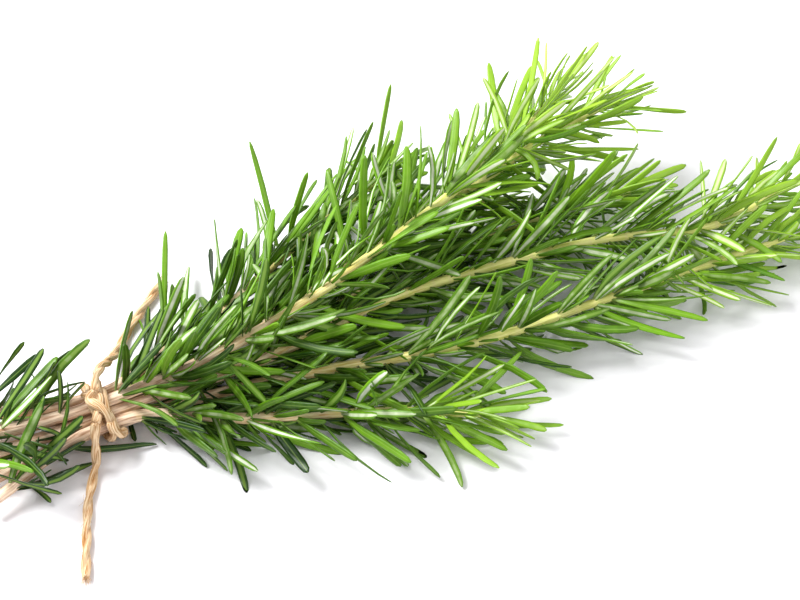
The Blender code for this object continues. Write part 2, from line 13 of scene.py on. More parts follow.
import bmesh
import bpy
import numpy as np
from mathutils import Matrix, Vector


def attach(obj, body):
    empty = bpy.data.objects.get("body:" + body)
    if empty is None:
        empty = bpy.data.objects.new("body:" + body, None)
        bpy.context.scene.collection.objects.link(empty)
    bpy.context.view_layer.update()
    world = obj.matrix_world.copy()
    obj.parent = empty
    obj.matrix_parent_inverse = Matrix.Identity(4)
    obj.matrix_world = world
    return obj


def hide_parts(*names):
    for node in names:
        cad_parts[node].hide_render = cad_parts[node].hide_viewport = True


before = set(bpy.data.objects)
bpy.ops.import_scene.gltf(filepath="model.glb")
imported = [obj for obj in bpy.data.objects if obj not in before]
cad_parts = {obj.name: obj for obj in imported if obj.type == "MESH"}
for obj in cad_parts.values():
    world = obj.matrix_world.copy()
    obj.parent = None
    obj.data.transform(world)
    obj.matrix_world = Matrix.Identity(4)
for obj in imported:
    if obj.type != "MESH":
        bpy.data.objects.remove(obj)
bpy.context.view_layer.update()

MM = 0.001

# Clearances
GAP = 0.35 * MM                 # between any two pieces that touch
ROOM_CELL = 0.6 * MM            # size of the cubes that keep leaves out of each other's way
ROOM_SLACK = 0.35 * MM          # extra clearance for the coarseness of those cubes
ROOM_LOW = (-90 * MM, -100 * MM, -2 * MM)           # corners of the space that they fill
ROOM_HIGH = (300 * MM, 120 * MM, 80 * MM)
FLOOR_EASE = 3.0 * MM           # height from which a drooping leaf begins to bend along the surface

# The bunch as a whole, as shares of the sprigs' points below
BUNCH_REACH = 1.0               # along the bunch, ahead of the tie
BUNCH_FAN = 1.0                 # across the bunch, ahead of the tie

# Stems
STEM_RADIUS = 1.8 * MM          # from the cut ends through the tie
STEM_END_RADIUS = 1.25 * MM     # where the soft tip takes over
STEM_SPACE = 0.6 * MM           # between neighbouring stems in the tie
STEM_PITCH = 2 * STEM_RADIUS + STEM_SPACE
PITCH_SCALE = STEM_PITCH / (4.2 * MM)
ROW_PITCH = STEM_PITCH * math.sin(math.pi / 3)
TIE_RUN = (-5.0 * MM, 9.0 * MM)  # where the stems run side by side, behind and ahead of the tie

# Collars and their leaves
COLLAR_LENGTH = 9.0 * MM
COLLAR_WALL = 0.7 * MM
COLLAR_SIDES = 6
COLLAR_SPARE = 0.05 * MM        # least space left inside the collar where its stem bends
COLLAR_MARGIN = 1.5 * MM        # from the collar's ends to the nearest leaves
CLASP = 0.6                     # where in the collar's wall a leaf begins
LEAVES_PER_COLLAR = 7
LEAF_LENGTH = 28.0 * MM
LEAF_WIDTH = 3.8 * MM
LEAF_THICKNESS = 1.2 * MM
LEAF_SPREAD = math.radians(36)  # from the stem, at the leaf's base
LEAF_BEND = math.radians(-6)    # turned back towards the stem by the leaf's end
PAIR_TURN = math.radians(100)   # from one pair of leaves to the next round the stem
PAIR_PLACES = (-1, 1, -0.33, 0.33)                  # of the pairs along the collar, from -1 to 1
LEAF_LENGTHS = (0.78, 1.06)     # shortest and longest, as shares of the leaf length
LEAF_FREE = 0.3                 # share of a leaf that may meet its own stem and collar
LEAF_TRIES = 90                 # places looked at before a leaf is left out
LEAF_SHRINK = 0.4               # share of its length that a leaf may lose over those tries
LEAF_TWIST = 0.5                # most that a leaf turns on its own line, in radians
LEAST_SPREAD = 0.12             # of any leaf, in radians
# How far, in radians, a leaf strays from what is wanted at first, and how much more over those tries
PLAY = {"angle": (0.12, 0.9), "spread": (0.1, 0.3), "bend": (0.3, 0.2)}
STANDOUT_PLAY = 0.2             # share of that play for the leaves listed in STANDOUTS

# The face of a stem that its leaves leave bare: the angle of its middle from up to the front, the angle to
# its edges, and how far it reaches along each stem that has one, in millimetres from the tie
BARE_MIDDLE = math.radians(35)
BARE_HALF = math.radians(50)
BARE_REACH = {"crest": 100, "middle": 240, "front": 240}

# Soft tips
TIP_LENGTH = 15.0 * MM
TIP_END_RADIUS = 0.4 * MM
TIP_LEAVES = 9
TIP_LEAF_LENGTH = 23.0 * MM
TIP_SPREADS = (math.radians(30), math.radians(9))   # of the lowest and the highest leaf
TIP_LEAF_SPAN = (0.12, 0.92)    # where along the tip its leaves begin
TIP_LEAF_SHRINK = 0.35          # share of its length that the highest leaf loses
TIP_FREE = 0.4
GOLDEN_ANGLE = math.radians(137.5)

# Twine
TWINE_RADIUS = 1.5 * MM
TWINE_STEP = 2.4 * MM
TAIL_STEP = 4.8 * MM
TWINE_CHORD = 0.1 * MM          # room for the flats of its turns
TWINE_TURNS = 2
TWINE_PITCH = 3.6 * MM          # from one turn to the next along the bunch
TWINE_START = (-1.0 * MM, math.radians(120))        # place along the bunch and angle round it, under the knot
TURN_POINTS = 36                # round each turn
CROSSING = (0.22, 0.05)         # shares of a turn before its end between which it climbs over its turns
CROSSING_RISE = 2.2             # in twine radii
CROSSING_SHIFT = 1.2            # in pitches
# Of the middle row of stems in the tie
TIE_HEIGHT = 2 * TWINE_RADIUS + 2 * GAP + TWINE_CHORD + STEM_RADIUS + ROW_PITCH
# The knot and the tails' routes are given for twine 3 mm thick.
TWINE_SCALE = TWINE_RADIUS / (1.5 * MM)
KNOT_SIZE = (8.5 * MM * TWINE_SCALE, 8.0 * MM * TWINE_SCALE, 6.0 * MM * TWINE_SCALE)
KNOT_SIDE = 4.0 * MM            # to the front of the tie's middle
KNOT_SINK = 0.8 * MM            # of its underside below the top of the stems
KNOT_MIDDLE = (0.0, -KNOT_SIDE, TIE_HEIGHT + ROW_PITCH + STEM_RADIUS + KNOT_SIZE[2] / 2 - KNOT_SINK)
# From the twine, up and to the front, where no leaf lies over it
CLEAR_WAY = (-0.26, -0.56, 0.79)
CLEAR_HEIGHTS = [3 * MM, 6 * MM, 9 * MM, 12 * MM, 16 * MM, 20 * MM]
TAIL_HEIGHT = TWINE_RADIUS + 0.1 * MM               # of the tails' middle line where they lie on the surface

# Numbers of the first leaf group and the first tip; the stems have the numbers from 1
FIRST_COLLAR = 20
FIRST_TIP = 80

# The sprigs. "slot" is the column and row that the stem takes in the tie. "cut" is its cut end, for stems
# 4.2 mm apart in the tie, and "ahead" the points that it passes on the way to its tip. "collars" are the
# distances along the stem from the tie to the middle of each leaf group. All are in millimetres.
SPRIGS = [
    {"name": "crest", "slot": (0.0, 1), "cut": (-50, 4, 17),
     "ahead": [(40, -4, 22), (68, -2, 28), (98, 5, 32), (126, 14, 34), (155, 25, 36), (178, 38, 37)],
     "collars": [26, 53, 81, 108, 134, 158]},
    {"name": "fork", "slot": (0.5, 0), "cut": (-46, 8, 9),
     "ahead": [(40, 3, 13), (72, 7, 18), (108, 15, 23), (138, 21, 25), (168, 27, 29), (194, 29, 32)],
     "collars": [62, 98, 134, 166]},
    {"name": "back", "slot": (1.5, 0), "cut": (-44, 20, 8),
     "ahead": [(25, 12, 9), (44, 16, 11), (76, 30, 13), (100, 39, 14), (120, 46, 15)],
     "collars": [27, 52, 78, 105]},
    {"name": "middle", "slot": (-0.5, 0), "cut": (-54, -1, 10),
     "ahead": [(50, -8, 16), (97, -5, 19), (133, -8, 20), (164, -12, 20), (204, -21, 18), (234, -15, 15)],
     "collars": [51, 80, 112, 144, 176, 206]},
    {"name": "front", "slot": (-1.0, -1), "cut": (-48, -9, 5),
     "ahead": [(45, -11, 10), (74, -18, 12), (100, -25, 13), (124, -29, 14), (158, -30, 14), (228, -31, 11)],
     "collars": [40, 70, 100, 130, 160, 192]},
    {"name": "low", "slot": (-1.5, 0), "cut": (-40, -16, 6),
     "ahead": [(42, -22, 9), (66, -32, 10), (91, -42, 9), (112, -53, 8)],
     "collars": [24, 50, 76, 100]},
    {"name": "inner", "slot": (0.0, -1), "cut": (-42, 1, 4),
     "ahead": [(56, 3, 8), (103, 7, 12), (138, 8, 15), (162, 5, 17), (188, 2, 18)],
     "collars": [58, 90, 126, 160]},
    {"name": "short", "slot": (1.0, -1), "cut": (-36, 10, 4),
     "ahead": [(46, 9, 7), (86, 17, 10), (120, 21, 14), (148, 19, 18)],
     "collars": [66, 98, 130]},
]

# Leaf groups behind the tie, on four of the stems: distance from the tie in millimetres
REAR_COLLARS = {"crest": -32, "middle": -36, "low": -29, "back": -30}

# Leaves that stand out from the bunch, by group: place along the collar or tip from -1 to 1, angle round
# the stem (0 up, 90 to the front) and spread from it in degrees, and length in millimetres
STANDOUTS = {
    "crest_leaves_rear": [(1, 15, 62, 31)],
    "crest_leaves_1": [(-1, 15, 68, 32)],
    "crest_leaves_3": [(-1, 240, 62, 30)],
    "crest_leaves_5": [(-1, 300, 38, 26)],
    "crest_leaves_6": [(-1, 285, 44, 31), (0, 305, 30, 28)],
    "crest_tip": [(-1, 15, 26, 26)],
    "fork_leaves_1": [(-1, 300, 56, 34)],
    "fork_leaves_2": [(0, 330, 66, 30)],
    "fork_leaves_4": [(0, 120, 32, 33)],
    "back_leaves_rear": [(0, 0, 72, 25)],
    "back_leaves_1": [(1, 300, 56, 35), (-1, 0, 62, 30)],
    "back_leaves_2": [(1, 270, 38, 28)],
    "back_leaves_3": [(0, 315, 62, 36), (0, 15, 38, 27), (1, 0, 72, 30)],
    "back_tip": [(0, 315, 44, 33), (1, 255, 32, 27), (1, 225, 20, 25)],
    "middle_leaves_rear": [(0, 150, 74, 32), (1, 120, 56, 28)],
    "middle_leaves_6": [(-1, 285, 68, 24)],
    "middle_tip": [(-1, 255, 44, 26)],
    "front_leaves_2": [(1, 90, 50, 31)],
    "front_leaves_3": [(1, 105, 32, 25)],
    "front_leaves_4": [(-1, 135, 44, 32), (1, 165, 44, 28)],
    "front_leaves_5": [(1, 75, 38, 30), (-1, 105, 44, 29)],
    "front_leaves_6": [(1, 120, 32, 30)],
    "low_leaves_1": [(0, 90, 32, 30)],
    "low_leaves_2": [(-1, 150, 26, 29)],
    "low_leaves_3": [(-1, 75, 44, 28)],
    "low_leaves_4": [(1, 60, 72, 34)],
    "inner_leaves_4": [(1, 15, 62, 33), (-1, 240, 50, 32)],
    "inner_tip": [(-1, 285, 20, 25), (0, 255, 26, 28)],
}

# The tails' routes, in millimetres from the middle of the knot. Points below the surface are raised to it.
TAILS = {
    "front": [(-2.5, -4.6, -0.7), (-4, -6.8, -4.4), (-4.6, -7.8, -9.9), (-5.6, -9.5, -13.9), (-8.5, -14, -20),
              (-12, -20, -20), (-17, -32, -20), (-22, -45, -20)],
    "back": [(1, 4.4, 2.4), (3, 9, 2.5), (6, 14.5, -1.4), (10, 20.5, -7.9), (14, 26.5, -13.3),
             (19, 32.5, -20),
             (28, 40.5, -20), (38, 48.5, -20)],
}

BUNCH_MIDDLE = np.array((-96.13, 4.16, -0.03)) * MM     # from the layout to the part's frame


# ---------------------------------------------------------------- layout, as in the part

def distances_along(points):
    return np.concatenate([[0], np.cumsum(np.linalg.norm(np.diff(points, axis=0), axis=1))])


def even_steps(points, step):
    """The same line with its points about a step apart."""
    along = distances_along(points)
    even = np.linspace(0, along[-1], max(2, round(along[-1] / step)) + 1)
    return np.column_stack([np.interp(even, along, points[:, k]) for k in range(3)])


def smooth_curve(points, step):
    """Points about a step apart along a smooth curve through the given ones."""
    given = np.array(points, float)
    spans = np.linalg.norm(np.diff(given, axis=0), axis=1)
    slopes = np.diff(given, axis=0) / spans[:, None]
    inner = slopes[:-1] * spans[1:, None] + slopes[1:] * spans[:-1, None]
    inner = inner / (spans[:-1] + spans[1:])[:, None]
    tangents = np.vstack([slopes[:1], inner, slopes[-1:]])
    fine = [given[:1]]
    for i, span in enumerate(spans):
        t = np.linspace(0, 1, 17)[1:, None]
        fine.append((2 * t**3 - 3 * t**2 + 1) * given[i] + (t**3 - 2 * t**2 + t) * span * tangents[i]
                    + (3 * t**2 - 2 * t**3) * given[i + 1] + (t**3 - t**2) * span * tangents[i + 1])
    return even_steps(np.vstack(fine), step)


def unit(vector):
    return vector / np.linalg.norm(vector)


class Stem:
    """One sprig's axis, from its cut end to the end of its soft tip, with its thickness."""

    def __init__(self, sprig, number):
        column, row = sprig["slot"]
        side = column * STEM_PITCH
        height = TIE_HEIGHT + row * ROW_PITCH
        route = [np.array((1, PITCH_SCALE, PITCH_SCALE)) * sprig["cut"] * MM]
        route += [(x, side, height) for x in TIE_RUN]
        route += [np.array((BUNCH_REACH, BUNCH_FAN, 1)) * point * MM for point in sprig["ahead"]]
        self.name = sprig["name"]
        self.number = number
        self.points = smooth_curve(route, MM)
        self.along = distances_along(self.points)
        self.tie = float(np.interp(0, self.points[:, 0], self.along))
        self.tip_start = float(self.along[-1]) - TIP_LENGTH

    def at(self, distance):
        """The point at a distance from the cut end."""
        return np.array([np.interp(distance, self.along, self.points[:, k]) for k in range(3)])

    def radius(self, distance):
        stations = (self.tie, self.tip_start, self.along[-1])
        return float(np.interp(distance, stations, (STEM_RADIUS, STEM_END_RADIUS, TIP_END_RADIUS)))

    def frame(self, distance):
        """The stem's direction there, with the directions up and to the front across it."""
        ahead = unit(self.at(distance + MM) - self.at(distance - MM))
        up = unit(np.array((0, 0, 1)) - ahead[2] * ahead)
        return ahead, up, np.cross(ahead, up)


def leaf_half_width(share):
    return LEAF_WIDTH / 2 * np.interp(share, (0, 0.15, 0.35, 0.8, 0.93, 1), (0.4, 0.7, 1, 0.92, 0.6, 0.0))


def leaf_half_thickness(share):
    return LEAF_THICKNESS / 2 * np.interp(share, (0, 0.2, 0.8, 1), (0.7, 1, 0.9, 0.0))


class Leaf:
    """One leaf's middle line, the direction across its blade and the direction that its upper side faces."""

    POINTS = 24

    def __init__(self, stem, distance, angle, spread, bend, twist, length, clasp):
        ahead, up, front = stem.frame(distance)
        out = math.cos(angle) * up + math.sin(angle) * front
        across = np.cross(ahead, out)
        self.share = np.linspace(0, 1, self.POINTS)
        lean = (spread + bend * self.share)[:, None]
        runs = np.cos(lean) * ahead + np.sin(lean) * out
        steps = (runs[:-1] + runs[1:]) / 2 * length / (self.POINTS - 1)
        line = stem.at(distance) + clasp * out + np.vstack([np.zeros(3), np.cumsum(steps, axis=0)])
        faces = np.sin(lean) * ahead - np.cos(lean) * out
        turn = twist * self.share[:, None]
        self.across = np.cos(turn) * across + np.sin(turn) * faces
        self.faces = np.cos(turn) * faces - np.sin(turn) * across
        self.half_width = leaf_half_width(self.share)
        self.half_thickness = leaf_half_thickness(self.share)
        # A leaf that would dip under the surface is bent along it instead.
        floor = np.abs(self.across[:, 2]) * self.half_width + np.abs(self.faces[:, 2]) * self.half_thickness
        above = line[:, 2] - floor
        eased = FLOOR_EASE * np.exp(np.minimum(above / FLOOR_EASE, 1) - 1)
        line[:, 2] = floor + np.where(above > FLOOR_EASE, above, eased)
        self.line = line

    def samples(self):
        """Points spread over the blade, and how far along the leaf each of them is."""
        sides = np.linspace(-1, 1, 5)
        reach = (self.half_width[:, None] * self.across)[:, None, :]
        spots = self.line[:, None, :] + sides[None, :, None] * reach
        return spots.reshape(-1, 3), np.repeat(self.share, len(sides))


class Room:
    """The space round the bunch in small cubes, each holding the number of what fills it."""

    BLOCKED = 9999

    def __init__(self, low, high):
        self.low = np.array(low)
        size = np.ceil((np.array(high) - self.low) / ROOM_CELL).astype(int)
        self.cells = np.zeros(size, np.int16)
        self.last = size - 1

    def fill(self, points, radius, owner):
        reach = int(math.ceil(radius / ROOM_CELL))
        span = np.arange(-reach, reach + 1)
        ball = np.array(np.meshgrid(span, span, span)).reshape(3, -1).T
        ball = ball[np.linalg.norm(ball, axis=1) * ROOM_CELL <= radius]
        spots = ((points - self.low) / ROOM_CELL).astype(int)
        spots = np.clip((spots[:, None, :] + ball).reshape(-1, 3), 0, self.last)
        self.cells[tuple(spots.T)] = owner

    def owners(self, points):
        spots = np.clip(((points - self.low) / ROOM_CELL).astype(int), 0, self.last)
        return self.cells[tuple(spots.T)]

    def takes(self, leaf, free, owners):
        """Whether a leaf's blade is clear, with its base free to meet the pieces that it grows from."""
        points, share = leaf.samples()
        found = self.owners(points)
        return not found[share >= free].any() and np.isin(found[share < free], (0,) + owners).all()

    def claim(self, leaf, free, owner):
        points, share = leaf.samples()
        reach = LEAF_THICKNESS + GAP + ROOM_SLACK
        self.fill(points[share >= free], reach, self.BLOCKED)
        self.fill(points[share < free], reach, owner)


class Group:
    """A collar or a soft tip, with the leaves that grow from it."""

    def __init__(self, name, stem, number, distance, is_tip):
        self.name = name
        self.stem = stem
        self.number = number
        self.distance = distance
        self.is_tip = is_tip
        self.free = TIP_FREE if is_tip else LEAF_FREE
        self.draw = random.Random(number)
        self.leaves = []
        self.inner = collar_inner_radius(stem, distance)

    def spot(self, place):
        """Where a leaf at a place from -1 to 1 begins: how far along the stem, and from its middle."""
        if self.is_tip:
            distance = self.distance + TIP_LENGTH * np.interp(place, (-1, 1), TIP_LEAF_SPAN)
            return distance, self.stem.radius(distance) / 2
        distance = self.distance + place * (COLLAR_LENGTH / 2 - COLLAR_MARGIN)
        return distance, self.inner + COLLAR_WALL * CLASP

    def beside(self, angle):
        """An angle round the stem, turned to the nearest side where it is on the stem's bare face."""
        reach = BARE_REACH.get(self.stem.name, 0) * MM
        off = (angle - BARE_MIDDLE + math.pi) % (2 * math.pi) - math.pi
        if self.distance - self.stem.tie > reach or abs(off) > BARE_HALF:
            return angle
        return BARE_MIDDLE + math.copysign(BARE_HALF, off)

    def grow(self, room, place, angle, spread, length, play=1.0):
        """Add the first leaf that fits, from ever wider and shorter tries round the wanted one."""
        distance, clasp = self.spot(place)
        for attempt in range(LEAF_TRIES):
            ease = attempt / LEAF_TRIES * play
            turned, opened, bent = (self.draw.gauss(0, first * play + later * ease)
                                    for first, later in (PLAY["angle"], PLAY["spread"], PLAY["bend"]))
            twist = self.draw.uniform(-LEAF_TWIST, LEAF_TWIST)
            leaf = Leaf(self.stem, distance, angle + turned, max(LEAST_SPREAD, spread + opened),
                        LEAF_BEND * play + bent, twist, length * (1 - LEAF_SHRINK * ease), clasp)
            if room.takes(leaf, self.free, (self.number, self.stem.number)):
                room.claim(leaf, self.free, self.number)
                self.leaves.append(leaf)
                return


def collar_inner_radius(stem, distance):
    """Corner radius of a collar whose flats clear the stem, bent as it is there."""
    ahead = stem.frame(distance)[0]
    offsets = [stem.at(distance + side * COLLAR_LENGTH / 2) - stem.at(distance) for side in (-1, 1)]
    sag = max(np.linalg.norm(offset - offset @ ahead * ahead) for offset in offsets)
    return (stem.radius(distance) + max(GAP, sag + COLLAR_SPARE)) / math.cos(math.pi / COLLAR_SIDES)


def tie_route(stems):
    """The twine's middle line, round the stems in the tie and at last over its own turns into the knot."""
    slots = np.array([stem.at(stem.tie)[1:] for stem in stems])
    route = []
    climb = [TWINE_TURNS - share for share in CROSSING]
    for turn in np.linspace(0, TWINE_TURNS, TURN_POINTS * TWINE_TURNS + 1):
        angle = TWINE_START[1] - 2 * math.pi * turn
        outward = np.array((math.cos(angle), math.sin(angle)))
        corner = slots[np.argmax(slots @ outward)]
        rise = np.interp(turn, climb, (0, 1))
        reach = STEM_RADIUS + GAP + TWINE_CHORD + TWINE_RADIUS + rise * CROSSING_RISE * TWINE_RADIUS
        along = TWINE_START[0] + TWINE_PITCH * (turn - CROSSING_SHIFT * rise)
        route.append((along, *(corner + reach * outward)))
    return even_steps(np.array(route), TWINE_STEP)


def lay_out():
    """The stems, the leaf groups with their leaves, and the twine's routes."""
    stems = [Stem(sprig, number) for number, sprig in enumerate(SPRIGS, start=1)]
    tie = tie_route(stems)
    knot = np.array(KNOT_MIDDLE)
    tails = {}
    for name, route in TAILS.items():
        points = knot + np.array(route) * TWINE_SCALE * MM
        points[:, 2] = np.maximum(points[:, 2], TAIL_HEIGHT)
        tails[name] = smooth_curve(points, TAIL_STEP)
        tails[name][:, 2] = np.maximum(tails[name][:, 2], TAIL_HEIGHT)

    room = Room(ROOM_LOW, ROOM_HIGH)
    half_leaf = LEAF_THICKNESS / 2 + GAP + ROOM_SLACK
    for stem in stems:
        room.fill(stem.points, STEM_RADIUS + half_leaf, stem.number)
    for route in (tie, *tails.values()):
        room.fill(smooth_curve(route, MM), TWINE_RADIUS + half_leaf, room.BLOCKED)
    room.fill(knot[None, :], max(KNOT_SIZE) / 2 + half_leaf, room.BLOCKED)
    for height in CLEAR_HEIGHTS:
        lift = height * np.array(CLEAR_WAY)
        room.fill(knot[None, :] + lift, max(KNOT_SIZE) / 2 + half_leaf, room.BLOCKED)
        for tail in tails.values():
            room.fill(smooth_curve(tail, MM) + lift, TWINE_RADIUS + half_leaf, room.BLOCKED)

    collars = []
    tips = []
    for stem, sprig in zip(stems, SPRIGS):
        distances = [distance * BUNCH_REACH * MM for distance in sprig["collars"]]
        names = ["%s_leaves_%d" % (stem.name, i) for i in range(1, len(distances) + 1)]
        if stem.name in REAR_COLLARS:
            distances.append(REAR_COLLARS[stem.name] * MM)
            names.append(stem.name + "_leaves_rear")
        for name, distance in zip(names, distances):
            number = FIRST_COLLAR + len(collars)
            collars.append(Group(name, stem, number, stem.tie + distance, is_tip=False))
            outer = collars[-1].inner + COLLAR_WALL
            spots = [stem.at(stem.tie + distance + share * COLLAR_LENGTH / 2)
                     for share in (-1, -0.5, 0, 0.5, 1)]
            room.fill(np.array(spots), outer + half_leaf, number)
        tips.append(Group(stem.name + "_tip", stem, FIRST_TIP + stem.number, stem.tip_start, is_tip=True))
        core = stem.points[stem.along >= stem.tip_start]
        room.fill(core, STEM_END_RADIUS + half_leaf, tips[-1].number)

    for group in collars + tips:
        for place, angle, spread, length in STANDOUTS.get(group.name, []):
            group.grow(room, place, math.radians(angle), math.radians(spread), length * MM, STANDOUT_PLAY)
    for i in range(TIP_LEAVES):
        share = i / (TIP_LEAVES - 1)
        spread = TIP_SPREADS[0] + (TIP_SPREADS[1] - TIP_SPREADS[0]) * share
        for tip in tips:
            length = TIP_LEAF_LENGTH * (1 - TIP_LEAF_SHRINK * share)
            tip.grow(room, 2 * share - 1, tip.number + i * GOLDEN_ANGLE, spread, length)
    for i in range(LEAVES_PER_COLLAR):
        pair, side = divmod(i, 2)
        for collar in collars:
            angle = collar.number + math.pi * side + PAIR_TURN * pair
            length = LEAF_LENGTH * collar.draw.uniform(*LEAF_LENGTHS)
            collar.grow(room, PAIR_PLACES[pair], collar.beside(angle), LEAF_SPREAD, length)
    return stems, collars, tips, tie, knot, tails


# ---------------------------------------------------------------- finer leaves

PAIR_SPACING = ((0, 9.0 * MM), (1, 5.0 * MM))       # between leaf pairs, at the tie and at the stem's tip
PAIR_REACH = 0.5 * MM           # half the room that a finer leaf needs round its blade
PAIR_TRIES = 30
PAIR_SEED = 500
PAIR_LENGTHS = (20.0 * MM, 33.0 * MM)
JOINT_SIDES = (0, math.pi, 0.5 * math.pi, 1.4 * math.pi)        # round the stem, where leaves grow at a joint
REAR_SIDES = 2                  # how many of those sides have a leaf behind the tie
FIRST_JOINTS = {"crest": -38, "middle": -40, "low": -34, "back": -34, "front": -30}     # in mm from the tie
FIRST_JOINT = 10                # on the other stems
TIE_BARE = 7 * MM               # no leaves nearer than this to the tie
WOOD_STOP = 3 * MM              # from a stem's last leaves and wood to the end of its tip
CLOSE_SHARE = 0.7               # of the leaf pairs, which spread like the main groups' leaves
WIDE_SPREAD = 1.7 * LEAF_SPREAD
TIP_EASE = 30 * MM              # the stretch below the tip over which leaves close up and get shorter
TIP_CLOSING = 0.55
TIP_SHORTENING = 0.25
TUFT_LEAVES = (1, 2)            # fewest and most for each leaf of a joint
TUFT_TRIES = 10
TUFT_LENGTHS = (8.0 * MM, 19.0 * MM)
TUFT_SPREAD = math.radians(30)
TUFT_TURN = 0.7                 # how far they stray round the stem, in radians
TUFT_RUN = 1.2                  # how far they stray along it, in millimetres
TUFT_SIZE = 0.62                # width and thickness as a share of a pair leaf's
# How far a finer leaf strays in angle and spread at first, and how much more over its tries, in radians
FINER_PLAY = ((0.2, 0.9), (0.12, 0.3))
FINER_BEND = (-0.08, 0.38)      # its mean and its standard deviation
FINER_TWIST = 0.7
FINER_SHRINK = 0.35
FINER_CLASP = 0.8               # where in the stem's radius it begins
FINER_FOOT = (0.15, 0.35)       # the stretch of it that may meet a stem; nearer its root it may meet anything
FINER_FILL = 0.25               # where along it its own room begins
GROUP_FILL = 0.2                # and where a main leaf's does


def finer_room(stems, groups, tie, knot, tails):
    """The same space as it is filled by the blades themselves, without their collision clearance."""
    room = Room(ROOM_LOW, ROOM_HIGH)
    for stem in stems:
        room.fill(stem.points, STEM_RADIUS, stem.number)
    for route in (tie, *tails.values()):
        room.fill(smooth_curve(route, MM), TWINE_RADIUS + PAIR_REACH, room.BLOCKED)
    for height in (0, *CLEAR_HEIGHTS):
        lift = height * np.array(CLEAR_WAY)
        room.fill(knot[None, :] + lift, max(KNOT_SIZE) / 2 + PAIR_REACH, room.BLOCKED)
        for tail in tails.values():
            room.fill(smooth_curve(tail, MM) + lift, TWINE_RADIUS + PAIR_REACH, room.BLOCKED)
    for group in groups:
        for leaf in group.leaves:
            points, share = leaf.samples()
            room.fill(points[share >= GROUP_FILL], PAIR_REACH, room.BLOCKED)
    return room


def sprout(room, draw, stem, distance, angle, spread, length, tries):
    """A finer leaf on the stem if one fits near what is wanted."""
    for attempt in range(tries):
        ease = attempt / tries
        turned, opened = (draw.gauss(0, first + later * ease) for first, later in FINER_PLAY)
        leaf = Leaf(stem, distance, angle + turned, max(LEAST_SPREAD, spread + opened),
                    draw.gauss(*FINER_BEND), draw.uniform(-FINER_TWIST, FINER_TWIST),
                    length * (1 - FINER_SHRINK * ease), stem.radius(distance) * FINER_CLASP)
        points, share = leaf.samples()
        found = room.owners(points)
        foot = found[(share >= FINER_FOOT[0]) & (share < FINER_FOOT[1])]
        if not found[share >= FINER_FOOT[1]].any() and not (foot >= FIRST_COLLAR).any():
            room.fill(points[share >= FINER_FILL], PAIR_REACH, room.BLOCKED)
            return leaf
    return None


def joint_places(stem):
    """Distances along the stem at which leaf pairs grow, closing up towards the tip."""
    places = []
    distance = stem.tie + FIRST_JOINTS.get(stem.name, FIRST_JOINT) * MM
    while distance < stem.along[-1] - WOOD_STOP:
        places.append(distance)
        share = np.clip((distance - stem.tie) / (stem.along[-1] - stem.tie), 0, 1)
        distance += float(np.interp(share, *zip(*PAIR_SPACING)))
    return places


def add_finer_leaves(stems, collars, tips, room):
    """Leaf pairs and tufts between the main groups, each kept with the group that it is nearest to."""
    finer = {group.name: [] for group in collars + tips}
    wanted = []
    for stem in stems:
        draw = random.Random(PAIR_SEED + stem.number)
        groups = [group for group in collars + tips if group.stem is stem]
        for count, distance in enumerate(joint_places(stem)):
            if abs(distance - stem.tie) < TIE_BARE:
                continue
            middles = [group.distance + (TIP_LENGTH / 2 if group.is_tip else 0) for group in groups]
            nearest = groups[int(np.argmin(np.abs(np.array(middles) - distance)))]
            for side in JOINT_SIDES if distance > stem.tie else JOINT_SIDES[:REAR_SIDES]:
                angle = nearest.beside(side + PAIR_TURN * count + stem.number)
                wanted.append((stem, draw, distance, nearest, angle))
    for stem, draw, distance, group, angle in wanted:
        length = draw.uniform(*PAIR_LENGTHS)
        near_tip = np.clip(1 - (stem.along[-1] - distance) / TIP_EASE, 0, 1)
        spread = (LEAF_SPREAD if draw.random() < CLOSE_SHARE else WIDE_SPREAD) * (1 - TIP_CLOSING * near_tip)
        length *= 1 - TIP_SHORTENING * near_tip
        leaf = sprout(room, draw, stem, distance, angle, spread, length, PAIR_TRIES)
        if leaf:
            finer[group.name].append((leaf, 1.0))
    for stem, draw, distance, group, angle in wanted:
        for _ in range(draw.randint(*TUFT_LEAVES)):
            length = draw.uniform(*TUFT_LENGTHS)
            turned = group.beside(angle + draw.gauss(0, TUFT_TURN))
            place = distance + draw.uniform(0, TUFT_RUN) * MM
            leaf = sprout(room, draw, stem, place, turned, TUFT_SPREAD, length, TUFT_TRIES)
            if leaf:
                finer[group.name].append((leaf, TUFT_SIZE))
    return finer


# ---------------------------------------------------------------- shaping helpers

def srgb(code):
    """A hex colour as linear light."""
    channels = [int(code[k:k + 2], 16) / 255 for k in (1, 3, 5)]
    linear = [c / 12.92 if c <= 0.04045 else ((c + 0.055) / 1.055) ** 2.4 for c in channels]
    return (*linear, 1.0)


def node(tree, kind, inputs=None, **settings):
    """Add a node with its settings, each input set to a value or linked to a socket."""
    made = tree.nodes.new("ShaderNode" + kind)
    for key, value in settings.items():
        setattr(made, key, value)
    for key, value in (inputs or {}).items():
        if isinstance(value, bpy.types.NodeSocket):
            tree.links.new(value, made.inputs[key])
        else:
            made.inputs[key].default_value = value
    return made


def new_piece(name, bm, material):
    """A mesh object in the part's frame, made from a bmesh in the layout's frame."""
    bmesh.ops.translate(bm, vec=Vector(BUNCH_MIDDLE), verts=bm.verts)
    mesh = bpy.data.meshes.new(name)
    bm.to_mesh(mesh)
    bm.free()
    mesh.shade_smooth()
    mesh.materials.append(material)
    piece = bpy.data.objects.new(name, mesh)
    bpy.context.scene.collection.objects.link(piece)
    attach(piece, "root")
    return piece


def add_bmesh(whole, bm):
    """Add one bmesh to another, and free it."""
    mesh = bpy.data.meshes.new("piece")
    bm.to_mesh(mesh)
    bm.free()
    whole.from_mesh(mesh)
    bpy.data.meshes.remove(mesh)


